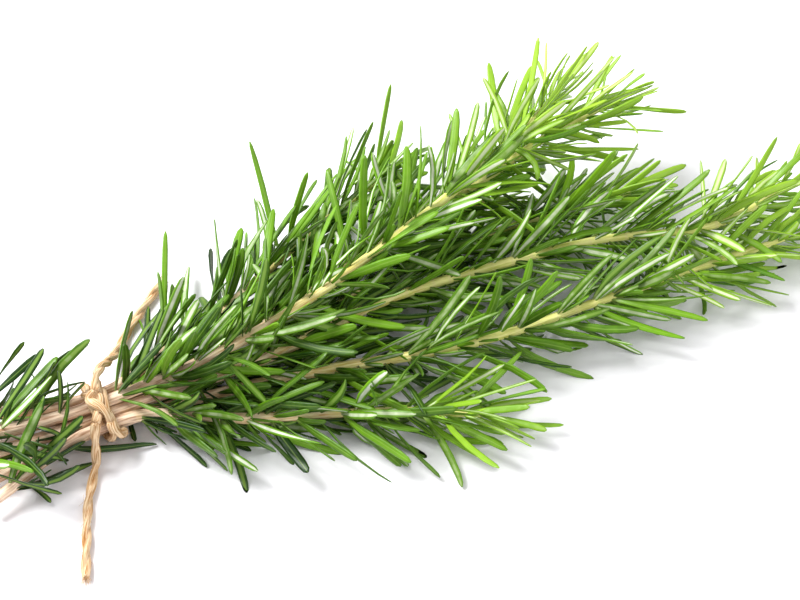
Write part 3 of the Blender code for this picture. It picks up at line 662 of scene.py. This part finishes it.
def rod(sides, rings):
    """A round bar, one unit long and one in radius, cut across into rings."""
    bm = bmesh.new()
    bmesh.ops.create_cone(bm, cap_ends=True, segments=sides, radius1=1, radius2=1, depth=1,
                          matrix=Matrix.Translation((0, 0, 0.5)))
    long_edges = [edge for edge in bm.edges if abs(edge.verts[0].co.z - edge.verts[1].co.z) > 0.5]
    bmesh.ops.subdivide_edges(bm, edges=long_edges, cuts=rings - 2, use_grid_fill=True)
    return bm


def carried_frames(points):
    """Directions along a line and two across it that turn as little as they can."""
    ahead = np.gradient(points, axis=0)
    ahead /= np.linalg.norm(ahead, axis=1)[:, None]
    side = np.cross(ahead[0], (0.3, 0.5, 0.8))
    sides = []
    for direction in ahead:
        side = unit(side - side @ direction * direction)
        sides.append(side)
    sides = np.array(sides)
    return ahead, sides, np.cross(ahead, sides)


def bend_rod(bm, points, radii):
    """Lay a rod along a line. Its straight place is kept as the grain of its surface."""
    grain = bm.verts.layers.float_vector.new("grain")
    along = distances_along(points)
    _, sides, others = carried_frames(points)
    for vert in bm.verts:
        ring = round(vert.co.z * (len(points) - 1))
        reach = radii[ring]
        vert[grain] = (vert.co.x * reach, vert.co.y * reach, along[ring])
        vert.co = points[ring] + reach * (vert.co.x * sides[ring] + vert.co.y * others[ring])
    return bm


# ---------------------------------------------------------------- materials

def new_material(name):
    """A material with its node tree and its shader."""
    material = bpy.data.materials.new(name)
    material.use_nodes = True
    return material, material.node_tree, material.node_tree.nodes["Principled BSDF"]


def leaf_material():
    """Rosemary leaf: a leathery blade, waxy dark green above with a sunken vein, and rolled green edges
    round a dull grey-green felt beneath. Young leaves are yellow-green. Age and tone vary by leaf; the tone
    also carries painted shade, darker for leaves low in the bunch and behind the tie."""
    material, tree, shader = new_material("rosemary_leaf_waxy_above_felted_below")
    along, felt, vein, age, tone = (node(tree, "Attribute", attribute_name=name).outputs["Fac"]
                                    for name in ("along", "felt", "vein", "age", "tone"))
    place = node(tree, "TexCoord").outputs["Object"]
    # Mottling in patches of about 3 mm, and a fine pebbling of 0.4 mm as the blade has between its veins
    patches = node(tree, "TexNoise", {"Vector": place, "Scale": 330.0, "Detail": 2.0}).outputs[0]
    pebbles = node(tree, "TexNoise", {"Vector": place, "Scale": 2600.0, "Detail": 1.0}).outputs[0]

    shade = node(tree, "MapRange", {"Value": patches, 1: 0.35, 2: 0.65, 3: -0.08, 4: 0.08}).outputs[0]
    # The tone attribute is each leaf's own tone with painted shade in it. The mottling is added to it, and
    # together they set how dark the upper side is and how pale the felt is.
    tone_shade_and_mottling = node(tree, "Math", {0: tone, 1: shade}, operation="ADD", use_clamp=True).outputs[0]
    grown = node(tree, "Mix", {0: tone_shade_and_mottling, 6: srgb("#173802"), 7: srgb("#70a41a")}, data_type="RGBA").outputs[2]
    young = node(tree, "Mix", {0: tone_shade_and_mottling, 6: srgb("#5c9614"), 7: srgb("#a0c834")}, data_type="RGBA").outputs[2]
    upper = node(tree, "Mix", {0: age, 6: grown, 7: young}, data_type="RGBA").outputs[2]
    sunken = node(tree, "MapRange", {"Value": vein, 1: 0.72, 2: 0.97, 3: 0.0, 4: 0.45}).outputs[0]
    upper = node(tree, "Mix", {0: sunken, 6: upper, 7: srgb("#98b858")}, data_type="RGBA").outputs[2]

    pale = node(tree, "MapRange", {"Value": tone_shade_and_mottling, 1: 0.35, 2: 0.9}).outputs[0]
    grown_felt = node(tree, "Mix", {0: pale, 6: srgb("#6b8a34"), 7: srgb("#e4ead4")},
                      data_type="RGBA").outputs[2]
    young_felt = node(tree, "Mix", {0: pale, 6: srgb("#7cab34"), 7: srgb("#bfd67c")},
                      data_type="RGBA").outputs[2]
    lower = node(tree, "Mix", {0: age, 6: grown_felt, 7: young_felt}, data_type="RGBA").outputs[2]
    felted = node(tree, "MapRange", {"Value": felt, 1: 0.28, 2: 0.62, 3: 0.0, 4: 1.0}).outputs[0]
    color = node(tree, "Mix", {0: felted, 6: upper, 7: lower}, data_type="RGBA").outputs[2]
    base = node(tree, "MapRange", {"Value": along, 1: 0.0, 2: 0.13, 3: 0.6, 4: 0.0}).outputs[0]
    color = node(tree, "Mix", {0: base, 6: color, 7: srgb("#b4c27a")}, data_type="RGBA").outputs[2]
    tree.links.new(color, shader.inputs["Base Color"])

    dull = node(tree, "MapRange", {"Value": felted, 1: 0.0, 2: 1.0, 3: 0.36, 4: 0.8}).outputs[0]
    tree.links.new(dull, shader.inputs["Roughness"])
    relief = node(tree, "Bump", {"Strength": 0.25, "Distance": 0.12 * MM, "Height": pebbles}).outputs[0]
    tree.links.new(relief, shader.inputs["Normal"])
    shader.inputs["IOR"].default_value = 1.42
    shader.inputs["Specular IOR Level"].default_value = 0.45
    return material


def bark_material():
    """Young rosemary wood: smooth fibrous bark, pinkish tan at the foot, golden where it is half grown and
    yellow-green towards the soft tip, with paler scars round leaf joints and cream wood where it is cut."""
    material, tree, shader = new_material("rosemary_bark_fibrous")
    green, scar, cut = (node(tree, "Attribute", attribute_name=name).outputs["Fac"]
                        for name in ("green", "scar", "cut"))
    grain = node(tree, "Attribute", attribute_name="grain").outputs["Vector"]
    # Noise in cells 0.8 mm wide and 9 mm long, for fibres that run up the stem
    stretched = node(tree, "Mapping", {"Vector": grain, "Scale": (1300.0, 1300.0, 110.0)}).outputs[0]
    fibres = node(tree, "TexNoise", {"Vector": stretched, "Scale": 1.0, "Detail": 3.0}).outputs[0]
    patches = node(tree, "TexNoise", {"Vector": grain, "Scale": 160.0, "Detail": 2.0}).outputs[0]

    fibrous = node(tree, "MapRange", {"Value": fibres, 1: 0.3, 2: 0.62}).outputs[0]
    foot = node(tree, "Mix", {0: fibrous, 6: srgb("#9c6a42"), 7: srgb("#fce2c4")},
                data_type="RGBA").outputs[2]
    middle = node(tree, "Mix", {0: fibrous, 6: srgb("#cf9a48"), 7: srgb("#fff0b8")},
                  data_type="RGBA").outputs[2]
    shoot = node(tree, "Mix", {0: fibrous, 6: srgb("#ccd05c"), 7: srgb("#f8f79c")},
                 data_type="RGBA").outputs[2]
    drift = node(tree, "MapRange", {"Value": patches, 1: 0.3, 2: 0.7, 3: -0.14, 4: 0.14}).outputs[0]
    greened = node(tree, "Math", {0: green, 1: drift}, operation="ADD", use_clamp=True).outputs[0]
    early = node(tree, "MapRange", {"Value": greened, 1: 0.1, 2: 0.45}).outputs[0]
    late = node(tree, "MapRange", {"Value": greened, 1: 0.36, 2: 0.75}).outputs[0]
    color = node(tree, "Mix", {0: early, 6: foot, 7: middle}, data_type="RGBA").outputs[2]
    color = node(tree, "Mix", {0: late, 6: color, 7: shoot}, data_type="RGBA").outputs[2]
    scarred = node(tree, "MapRange", {"Value": scar, 1: 0.5, 2: 1.0, 3: 0.0, 4: 0.3}).outputs[0]
    color = node(tree, "Mix", {0: scarred, 6: color, 7: srgb("#e6d3a4")}, data_type="RGBA").outputs[2]
    color = node(tree, "Mix", {0: cut, 6: color, 7: srgb("#e9dcb0")}, data_type="RGBA").outputs[2]
    tree.links.new(color, shader.inputs["Base Color"])
    relief = node(tree, "Bump", {"Strength": 0.75, "Distance": 0.25 * MM, "Height": fibres}).outputs[0]
    tree.links.new(relief, shader.inputs["Normal"])
    shader.inputs["Roughness"].default_value = 0.52
    shader.inputs["IOR"].default_value = 1.45
    return material


def jute_material():
    """Jute twine: dull tan plant fibre, spun into plies. The fibres run round each ply at a slant and show as
    fine light and dark streaks; loose ones stand off it."""
    material, tree, shader = new_material("jute_twine_spun")
    grain = node(tree, "Attribute", attribute_name="grain").outputs["Vector"]
    # Noise in cells 0.5 mm wide and 6 mm long, for streaks
    stretched = node(tree, "Mapping", {"Vector": grain, "Scale": (2200.0, 2200.0, 180.0)}).outputs[0]
    streaks = node(tree, "TexNoise", {"Vector": stretched, "Scale": 1.0, "Detail": 3.0}).outputs[0]
    patches = node(tree, "TexNoise", {"Vector": grain, "Scale": 220.0, "Detail": 1.0}).outputs[0]
    light = node(tree, "MapRange", {"Value": streaks, 1: 0.36, 2: 0.62}).outputs[0]
    color = node(tree, "Mix", {0: light, 6: srgb("#a8763e"), 7: srgb("#f0d8b2")}, data_type="RGBA").outputs[2]
    warm = node(tree, "MapRange", {"Value": patches, 1: 0.42, 2: 0.7, 3: 0.0, 4: 0.4}).outputs[0]
    color = node(tree, "Mix", {0: warm, 6: color, 7: srgb("#d09f70")}, data_type="RGBA").outputs[2]
    tree.links.new(color, shader.inputs["Base Color"])
    relief = node(tree, "Bump", {"Strength": 0.7, "Distance": 0.25 * MM, "Height": streaks}).outputs[0]
    tree.links.new(relief, shader.inputs["Normal"])
    shader.inputs["Roughness"].default_value = 0.88
    shader.inputs["Specular IOR Level"].default_value = 0.25
    return material


# ---------------------------------------------------------------- leaves

# Rings along a leaf, and its section: across, rise, felt and vein at eight points round it
LEAF_RINGS = (0.0, 0.1, 0.32, 0.6, 0.84, 0.955, 1.0)
LEAF_SECTION = ((1.0, 0.0, 0, 0), (0.58, 0.62, 0, 0), (0.0, 0.24, 0, 1), (-0.58, 0.62, 0, 0),
                (-1.0, 0.0, 0, 0), (-0.7, -0.6, 0, 0), (0.0, -0.2, 1, 0.6), (0.7, -0.6, 0, 0))
BLADE_WIDTHS = (0.24, 0.56, 0.95, 1.0, 0.92, 0.68, 0.22)        # at each of LEAF_RINGS
BLADE_THICKNESS = 1.15 * MM
NARROW_LEAF = 0.4               # the share of that on a leaf without width
NARROW_RING = 0.35              # and on a ring of it without width
BLADE_LIFT = 0.05 * MM          # least height above the surface

# How leaves differ. Tone runs from 0, dark, to 1, light. Besides each leaf's own tone it holds painted shade:
# leaves are darker low in the bunch and behind the tie.
BLADE_SEED = 900
AGE_STRAY = 0.07
TONE_FOOT = 0.24                # at the tie, PAINTED_SHADE_HEIGHT above the surface
TONE_TO_TIP = 0.44
# Painted shade: the tone grows with a leaf's height, so leaves low in the bunch are darker and those high up
# lighter.
PAINTED_LIGHT_UPWARDS = 0.4              # more for each PAINTED_SHADE_RISE above that
PAINTED_SHADE_HEIGHT = 16 * MM
PAINTED_SHADE_RISE = 40 * MM
TONE_STRAY = 0.24
PAINTED_SHADE_REAR = -0.3                # painted shade on the leaves behind the tie
TONE_BY_HAND = 0.8              # least, on the leaves that stand out
WIDTHS = (0.7, 0.1)             # mean and standard deviation, as shares of LEAF_WIDTH
WIDTH_LIMITS = (0.5, 0.95)
YOUNG_NARROWING = 0.3
ROLL = 0.75                     # standard deviations, in radians
ROLL_BY_HAND = 0.4
TWIST = 0.6
TURNED_SHARE = 0.45             # of leaves that lie over on their other side
TURNED_BY_HAND = 0.7
ROOT_DEPTH = 0.3                # of a leaf's root, from the stem's middle to where its line begins
BOW = 1.9                       # standard deviation of a leaf's bend up and sideways, in millimetres

# Soft tips: how young each sprig's end is, and how far down the young leaves reach
SOFTNESS = {"crest": 1.0, "fork": 1.0, "low": 1.0, "middle": 0.9, "front": 0.9, "short": 0.9, "inner": 0.7,
            "back": 0.35}
SOFT_REACH = {"crest": 88 * MM, "fork": 78 * MM, "low": 40 * MM, "middle": 84 * MM, "front": 84 * MM}
SHORT_REACH = 45 * MM           # on the other sprigs


def blade_blank():
    """One leaf's mesh, straight and one unit long, with what stays the same from leaf to leaf."""
    bm = rod(len(LEAF_SECTION), len(LEAF_RINGS))
    layers = {name: bm.verts.layers.float.new(name) for name in ("along", "felt", "vein", "age", "tone")}
    for vert in bm.verts:
        point = round(math.atan2(vert.co.y, vert.co.x) / math.tau * len(LEAF_SECTION)) % len(LEAF_SECTION)
        ring = round(vert.co.z * (len(LEAF_RINGS) - 1))
        across, rise, felt, vein = LEAF_SECTION[point]
        vert[layers["along"]] = LEAF_RINGS[ring]
        vert[layers["felt"]] = felt
        vert[layers["vein"]] = vein
        vert.co = (across, rise, LEAF_RINGS[ring])
    bmesh.ops.recalc_face_normals(bm, faces=bm.faces)
    mesh = bpy.data.meshes.new("blade_blank")
    bm.to_mesh(mesh)
    bm.free()
    return mesh


def add_blade(bm, blank, leaf, root, width, age, tone, roll, twist, arch, sweep):
    """Lay a copy of the blank along a leaf's line, rolled and arched on it and with its foot drawn in to its
    root in the bark, and add it to the group's mesh."""
    count = len(blank.vertices)
    flat = np.empty(count * 3)
    blank.vertices.foreach_get("co", flat)
    flat = flat.reshape(-1, 3)
    line, across, faces = (np.column_stack([np.interp(flat[:, 2], leaf.share, rows[:, k]) for k in range(3)])
                           for rows in (leaf.line, leaf.across, leaf.faces))
    line = line + flat[:, 2:3] ** 2 * (arch * faces + sweep * across)
    line = line + np.clip(1 - flat[:, 2:3] / LEAF_RINGS[2], 0, 1) ** 2 * (root - leaf.line[0])
    turn = (roll + twist * flat[:, 2])[:, None]
    sideways = np.cos(turn) * across + np.sin(turn) * faces
    upwards = np.cos(turn) * faces - np.sin(turn) * across
    reach = np.interp(flat[:, 2], LEAF_RINGS, BLADE_WIDTHS)[:, None]
    half = LEAF_WIDTH / 2 * width * reach
    thick = BLADE_THICKNESS / 2 * (NARROW_LEAF + (1 - NARROW_LEAF) * width)
    thick = thick * (NARROW_RING + (1 - NARROW_RING) * reach)
    placed = line + flat[:, :1] * half * sideways + flat[:, 1:2] * thick * upwards
    placed[:, 2] = np.maximum(placed[:, 2], BLADE_LIFT)
    mesh = blank.copy()
    mesh.vertices.foreach_set("co", placed.ravel())
    for name, value in (("age", age), ("tone", tone)):
        mesh.attributes[name].data.foreach_set("value", np.full(count, value))
    bm.from_mesh(mesh)
    bpy.data.meshes.remove(mesh)


def leaf_age(stem, distance):
    """From 0 for a full-grown leaf to 1 for the youngest, by how near the tip it grows."""
    reach = SOFT_REACH.get(stem.name, SHORT_REACH)
    near = float(np.clip(1 - (stem.along[-1] - distance) / reach, 0, 1))
    return SOFTNESS[stem.name] * near * near * (3 - 2 * near)


def turned_to_view(leaf):
    """The roll that turns a leaf's underside up and to the front."""
    middle = len(leaf.share) // 2
    across, faces = leaf.across[middle], leaf.faces[middle]
    return math.atan2(across @ CLEAR_WAY, -faces @ CLEAR_WAY)


def make_leaves(group, finer, blank, material):
    """A group's leaves as one piece, each with its own age, tone with painted shade, width and bend."""
    draw = random.Random(BLADE_SEED + group.number)
    bm = bmesh.new()
    bm.from_mesh(blank)
    bmesh.ops.delete(bm, geom=bm.verts[:])
    by_hand = len(STANDOUTS.get(group.name, []))
    stem = group.stem
    for count, (leaf, size) in enumerate([(leaf, 1.0) for leaf in group.leaves] + finer):
        gap = np.linalg.norm(stem.points - leaf.line[0], axis=1)
        distance = float(stem.along[int(np.argmin(gap))])
        age = np.clip(leaf_age(stem, distance) + draw.gauss(0, AGE_STRAY), 0, 1)
        share = np.clip((distance - stem.tie) / (stem.along[-1] - stem.tie), 0, 1)
        # Painted shade: a leaf whose middle lies low gets a darker tone, and one that lies high a lighter
        # one.
        height = (leaf.line[leaf.POINTS // 2, 2] - PAINTED_SHADE_HEIGHT) / PAINTED_SHADE_RISE
        tone = draw.gauss(TONE_FOOT + TONE_TO_TIP * share + PAINTED_LIGHT_UPWARDS * height, TONE_STRAY)
        # Painted shade: leaves behind the tie are darker.
        tone += PAINTED_SHADE_REAR if distance < stem.tie else 0
        tone = np.clip(max(tone, TONE_BY_HAND) if count < by_hand else tone, 0, 1)
        width = size * np.clip(draw.gauss(*WIDTHS), *WIDTH_LIMITS) * (1 - YOUNG_NARROWING * age)
        roll = draw.gauss(0, ROLL) + (math.pi if draw.random() < TURNED_SHARE else 0)
        if count < by_hand:
            roll = draw.gauss(0, ROLL_BY_HAND) + turned_to_view(leaf)
            roll += math.pi if draw.random() < TURNED_BY_HAND else 0
        root = stem.at(distance) + ROOT_DEPTH * (leaf.line[0] - stem.at(distance))
        twist = draw.gauss(0, TWIST)
        arch, sweep = (draw.gauss(0, BOW) * size * MM for _ in range(2))
        add_blade(bm, blank, leaf, root, width, age, tone, roll, twist, arch, sweep)
    return new_piece(group.name + "_blades", bm, material)


# ---------------------------------------------------------------- stems

BARK_SEED = 700
BARK_SIDES = 12
BARK_STEP = 1.3 * MM            # between its rings
BARK_RADIUS = 0.98              # of the stem's own radius, between the joints
JOINT_SWELL = 0.07              # and the share added at a leaf joint
SWELL_REACH = 2.2 * MM
SCAR_REACH = 0.8 * MM
WANDER = 0.035                  # how far the radius strays
WANDER_POINTS = 24
GREEN_REACH = 150 * MM          # ahead of the tie, where the bark is green
CUT_RIM = 0.25 * MM             # of bark round the wood at a cut end


def make_stem(stem, joints, material):
    """The stem from its cut end to near the end of its soft tip, swollen at each leaf joint."""
    draw = random.Random(BARK_SEED + stem.number)
    end = stem.along[-1] - WOOD_STOP
    stations = np.linspace(0, end, round(end / BARK_STEP))
    points = np.array([stem.at(station) for station in stations])
    near = np.array([min(abs(station - joint) for joint in joints) for station in stations])
    swell = JOINT_SWELL * np.exp(-(near / SWELL_REACH) ** 2)
    strays = [draw.gauss(0, WANDER) for _ in range(WANDER_POINTS)]
    wander = np.interp(stations, np.linspace(0, end, WANDER_POINTS), strays)
    radii = np.array([stem.radius(station) for station in stations]) * (BARK_RADIUS + swell + wander)
    bm = bend_rod(rod(BARK_SIDES, len(points)), points, radii)
    green, scar, cut = (bm.verts.layers.float.new(name) for name in ("green", "scar", "cut"))
    grain = bm.verts.layers.float_vector["grain"]
    for vert in bm.verts:
        along = vert[grain][2]
        vert[green] = (along - stem.tie) / GREEN_REACH
        vert[scar] = float(np.interp(along, stations, np.exp(-(near / SCAR_REACH) ** 2)))
    foot = [face for face in bm.faces if len(face.verts) > 4 and min(v[grain][2] for v in face.verts) == 0]
    bmesh.ops.inset_region(bm, faces=foot, thickness=CUT_RIM)
    for face in foot:
        for vert in face.verts:
            vert[cut] = 1.0
    return new_piece(stem.name + "_bark", bm, material)


# ---------------------------------------------------------------- twine

FIBRE_RADIUS = 0.07 * MM
FIBRE_LENGTHS = (1.5 * MM, 4.5 * MM)
FIBRE_END_LENGTHS = (1.5 * MM, 3.4 * MM)
PLY_RADIUS = 1.02 * MM
PLY_OFFSET = 0.52 * MM
PLY_PITCH = 19.0 * MM


PLY_STEP = 0.6 * MM             # between its points
PLY_SIDES = 8
PLY_ENDS = 0.7                  # its radius at its two ends, as a share


def twist_plies(points):
    """Two plies twisted round a line, as one bmesh."""
    fine = even_steps(points, PLY_STEP)
    along = distances_along(fine)
    _, sides, others = carried_frames(fine)
    whole = bmesh.new()
    for phase in (0, math.pi):
        turn = (2 * math.pi * along / PLY_PITCH + phase)[:, None]
        centre = fine + PLY_OFFSET * (np.cos(turn) * sides + np.sin(turn) * others)
        centre[:, 2] = np.maximum(centre[:, 2], PLY_RADIUS)
        radii = np.full(len(centre), PLY_RADIUS)
        radii[0] = radii[-1] = PLY_RADIUS * PLY_ENDS
        ply = bend_rod(rod(PLY_SIDES, len(centre)), centre, radii)
        add_bmesh(whole, ply)
    return whole


# The twine's two ends in the knot, in millimetres from its middle: where each comes from and goes, on
# the front side and on the back
KNOT_FRONT = (((2.9, -6.0, -6.2), (2.3, -5.2, -2.8)), ((-2.5, -4.6, -0.7),))
KNOT_BACK = (((1.0, 4.4, 2.4),), ((-1.3, 5.8, -0.8), (-1.9, 8.0, -3.6)))
KNOT_HALF = (1.5, 3.0, 1.25)    # half its crossing's width, length and height
KNOT_RISE = 0.5                 # of the crossing's middle
KNOT_PHASE = 0.6                # where the first end starts round the crossing, and how far each goes
KNOT_TURN = 0.8 * math.pi


# Loose fibres. The ones on a tail's cut end have their own figures, after the figures for the others.
FIBRE_PLACES = (0.04, 0.97)     # shares of the twine's length between which they leave it
FIBRE_ROOTS = (0.2, 0.9)        # shares of its radius between which they begin
FIBRE_END_ROOTS = 0.9           # times those
FIBRE_LEANS = (0.15, 0.7)       # how far they lean out for their run along the twine
FIBRE_END_LEANS = (0.05, 0.4)
FIBRE_CURL = 0.16               # standard deviation, as a share of their length
FIBRE_SUNK = 0.5 * MM           # the stretch of them inside the twine
FIBRE_POINTS = 6
FIBRE_SIDES = 4
FIBRE_POINT = 0.5               # the radius at the tip, as a share
TURNS_FIBRES = (40, 0)          # how many, and how many on a cut end
TAIL_FIBRES = (34, 30)
TURNS_SEED = 31
TAIL_SEED = 33


def make_fibres(name, route, counts, seed, material):
    """Loose fibres that stand off a length of twine, and a brush of them where it is cut."""
    draw = random.Random(seed)
    ahead, sides, others = carried_frames(route)
    along = distances_along(route)
    whole = bmesh.new()
    for number in range(sum(counts)):
        at_end = number >= counts[0]
        place = along[-1] if at_end else draw.uniform(*FIBRE_PLACES) * along[-1]
        index = int(np.searchsorted(along, place).clip(1, len(route) - 1))
        turn = draw.uniform(0, math.tau)
        out = math.cos(turn) * sides[index] + math.sin(turn) * others[index]
        root = TWINE_RADIUS * draw.uniform(*FIBRE_ROOTS) * (FIBRE_END_ROOTS if at_end else 1)
        length = draw.uniform(*(FIBRE_END_LENGTHS if at_end else FIBRE_LENGTHS))
        lean = draw.uniform(*(FIBRE_END_LEANS if at_end else FIBRE_LEANS))
        way = ahead[index] * (1 if at_end else draw.choice((-1, 1)))
        curl = np.array([draw.gauss(0, 1) for _ in range(3)]) * length * FIBRE_CURL
        share = np.linspace(0, 1, FIBRE_POINTS)[:, None]
        line = route[index] + out * root - way * FIBRE_SUNK
        line = line + share * length * (way + lean * out) + share * share * curl
        line[:, 2] = np.maximum(line[:, 2], FIBRE_RADIUS)
        radii = FIBRE_RADIUS * np.linspace(1, FIBRE_POINT, len(line))
        add_bmesh(whole, bend_rod(rod(FIBRE_SIDES, len(line)), line, radii))
    fibres = new_piece(name, whole, material)
    return fibres


def knot_strands(middle):
    """The twine's two ends, laid over each other in a half knot drawn tight."""
    strands = []
    for phase, front, back in zip((KNOT_PHASE, KNOT_PHASE + math.pi), KNOT_FRONT, KNOT_BACK):
        turned = [phase + KNOT_TURN * step for step in (0, 0.25, 0.5, 0.75, 1)]
        crossing = [(KNOT_HALF[0] * math.cos(turn), KNOT_HALF[1] * side,
                     KNOT_HALF[2] * math.sin(turn) + KNOT_RISE)
                    for turn, side in zip(turned, (-1, -0.5, 0, 0.5, 1))]
        route = np.array([*front, *crossing, *back]) * TWINE_SCALE * MM
        strands.append(smooth_curve(middle + route, PLY_STEP))
    return strands


def make_twine(tie, knot, tails, material):
    """The twine's turns, its knot and its two tails, with loose fibres on the turns and the tails."""
    turns = new_piece("twine_turns", twist_plies(smooth_curve(tie, MM)), material)
    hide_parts("twine_tie")
    make_fibres("twine_turns_fibres", smooth_curve(tie, MM), TURNS_FIBRES, TURNS_SEED, material)
    for count, strand in enumerate(knot_strands(knot), start=1):
        crossing = new_piece("twine_knot_strand_%d" % count, twist_plies(strand), material)
    for name, route in tails.items():
        tail = new_piece("twine_tail_%s_plies" % name, twist_plies(route), material)
        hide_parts("twine_tail_" + name)
        seed = TAIL_SEED + len(name)
        fibres = make_fibres("twine_tail_%s_fibres" % name, smooth_curve(route, MM), TAIL_FIBRES, seed,
                             material)


# ---------------------------------------------------------------- setting

CAMERA_AIM = np.array((100, -4, 15)) * MM + BUNCH_MIDDLE
CAMERA_DISTANCE = 0.694
CAMERA_HEIGHT = math.radians(52)        # above the surface
CAMERA_TURN = math.radians(25)          # from square on to the front, towards the cut ends


CAMERA_LENS = 100                       # in millimetres, on a sensor CAMERA_SENSOR wide
CAMERA_SENSOR = 36
TABLE_SIZE = 3.0
WORLD_COLOR = (0.98, 0.94, 1.0, 1)
WORLD_LIGHT = 0.6
# Lamps: where they stand and how wide they are, in metres, and their power in watts
LAMPS = {"key": ((-0.45, 0.5, 0.9), 0.5, 20.5), "fill": ((0.5, -0.8, 0.7), 0.8, 4.0)}


def make_setting():
    """The surface that the bunch lies on, the light and the camera."""
    floor_mesh = bpy.data.meshes.new("table_top")
    bm = bmesh.new()
    bmesh.ops.create_grid(bm, x_segments=1, y_segments=1, size=TABLE_SIZE)
    bm.to_mesh(floor_mesh)
    bm.free()
    floor = bpy.data.objects.new("table_top", floor_mesh)
    bpy.context.scene.collection.objects.link(floor)
    material, _, shader = new_material("white_sheet_matt")
    shader.inputs["Base Color"].default_value = srgb("#f6f6f8")
    shader.inputs["Roughness"].default_value = 0.9
    shader.inputs["Specular IOR Level"].default_value = 0.1
    floor_mesh.materials.append(material)

    world = bpy.data.worlds.new("studio")
    world.use_nodes = True
    world.node_tree.nodes["Background"].inputs["Color"].default_value = WORLD_COLOR
    world.node_tree.nodes["Background"].inputs["Strength"].default_value = WORLD_LIGHT
    bpy.context.scene.world = world
    for name, (at, size, power) in LAMPS.items():
        light = bpy.data.lights.new(name, "AREA")
        light.size = size
        light.energy = power
        lamp = bpy.data.objects.new(name, light)
        lamp.location = at
        lamp.rotation_euler = (-Vector(at)).to_track_quat("-Z", "Y").to_euler()
        bpy.context.scene.collection.objects.link(lamp)

    camera = bpy.data.cameras.new("camera")
    camera.lens = CAMERA_LENS
    camera.sensor_width = CAMERA_SENSOR
    view = bpy.data.objects.new("camera", camera)
    level = math.cos(CAMERA_HEIGHT)
    ahead = Vector((math.sin(CAMERA_TURN) * level, math.cos(CAMERA_TURN) * level, -math.sin(CAMERA_HEIGHT)))
    view.location = Vector(CAMERA_AIM) - CAMERA_DISTANCE * ahead
    view.rotation_euler = ahead.to_track_quat("-Z", "Y").to_euler()
    bpy.context.scene.collection.objects.link(view)
    bpy.context.scene.camera = view
    bpy.context.scene.view_settings.view_transform = "Standard"


# ---------------------------------------------------------------- the bunch

make_setting()
stems, collars, tips, tie, knot, tails = lay_out()
jute = jute_material()
make_twine(tie, knot, tails, jute)

room = finer_room(stems, collars + tips, tie, knot, tails)
finer = add_finer_leaves(stems, collars, tips, room)
leaf = leaf_material()
blank = blade_blank()
for group in collars + tips:
    blades = make_leaves(group, finer[group.name], blank, leaf)
    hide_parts(group.name)

bark = bark_material()
for stem in stems:
    joints = [group.distance for group in collars if group.stem is stem] + joint_places(stem)
    wood = make_stem(stem, joints, bark)
    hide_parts(stem.name + "_stem")

bpy.context.view_layer.update()
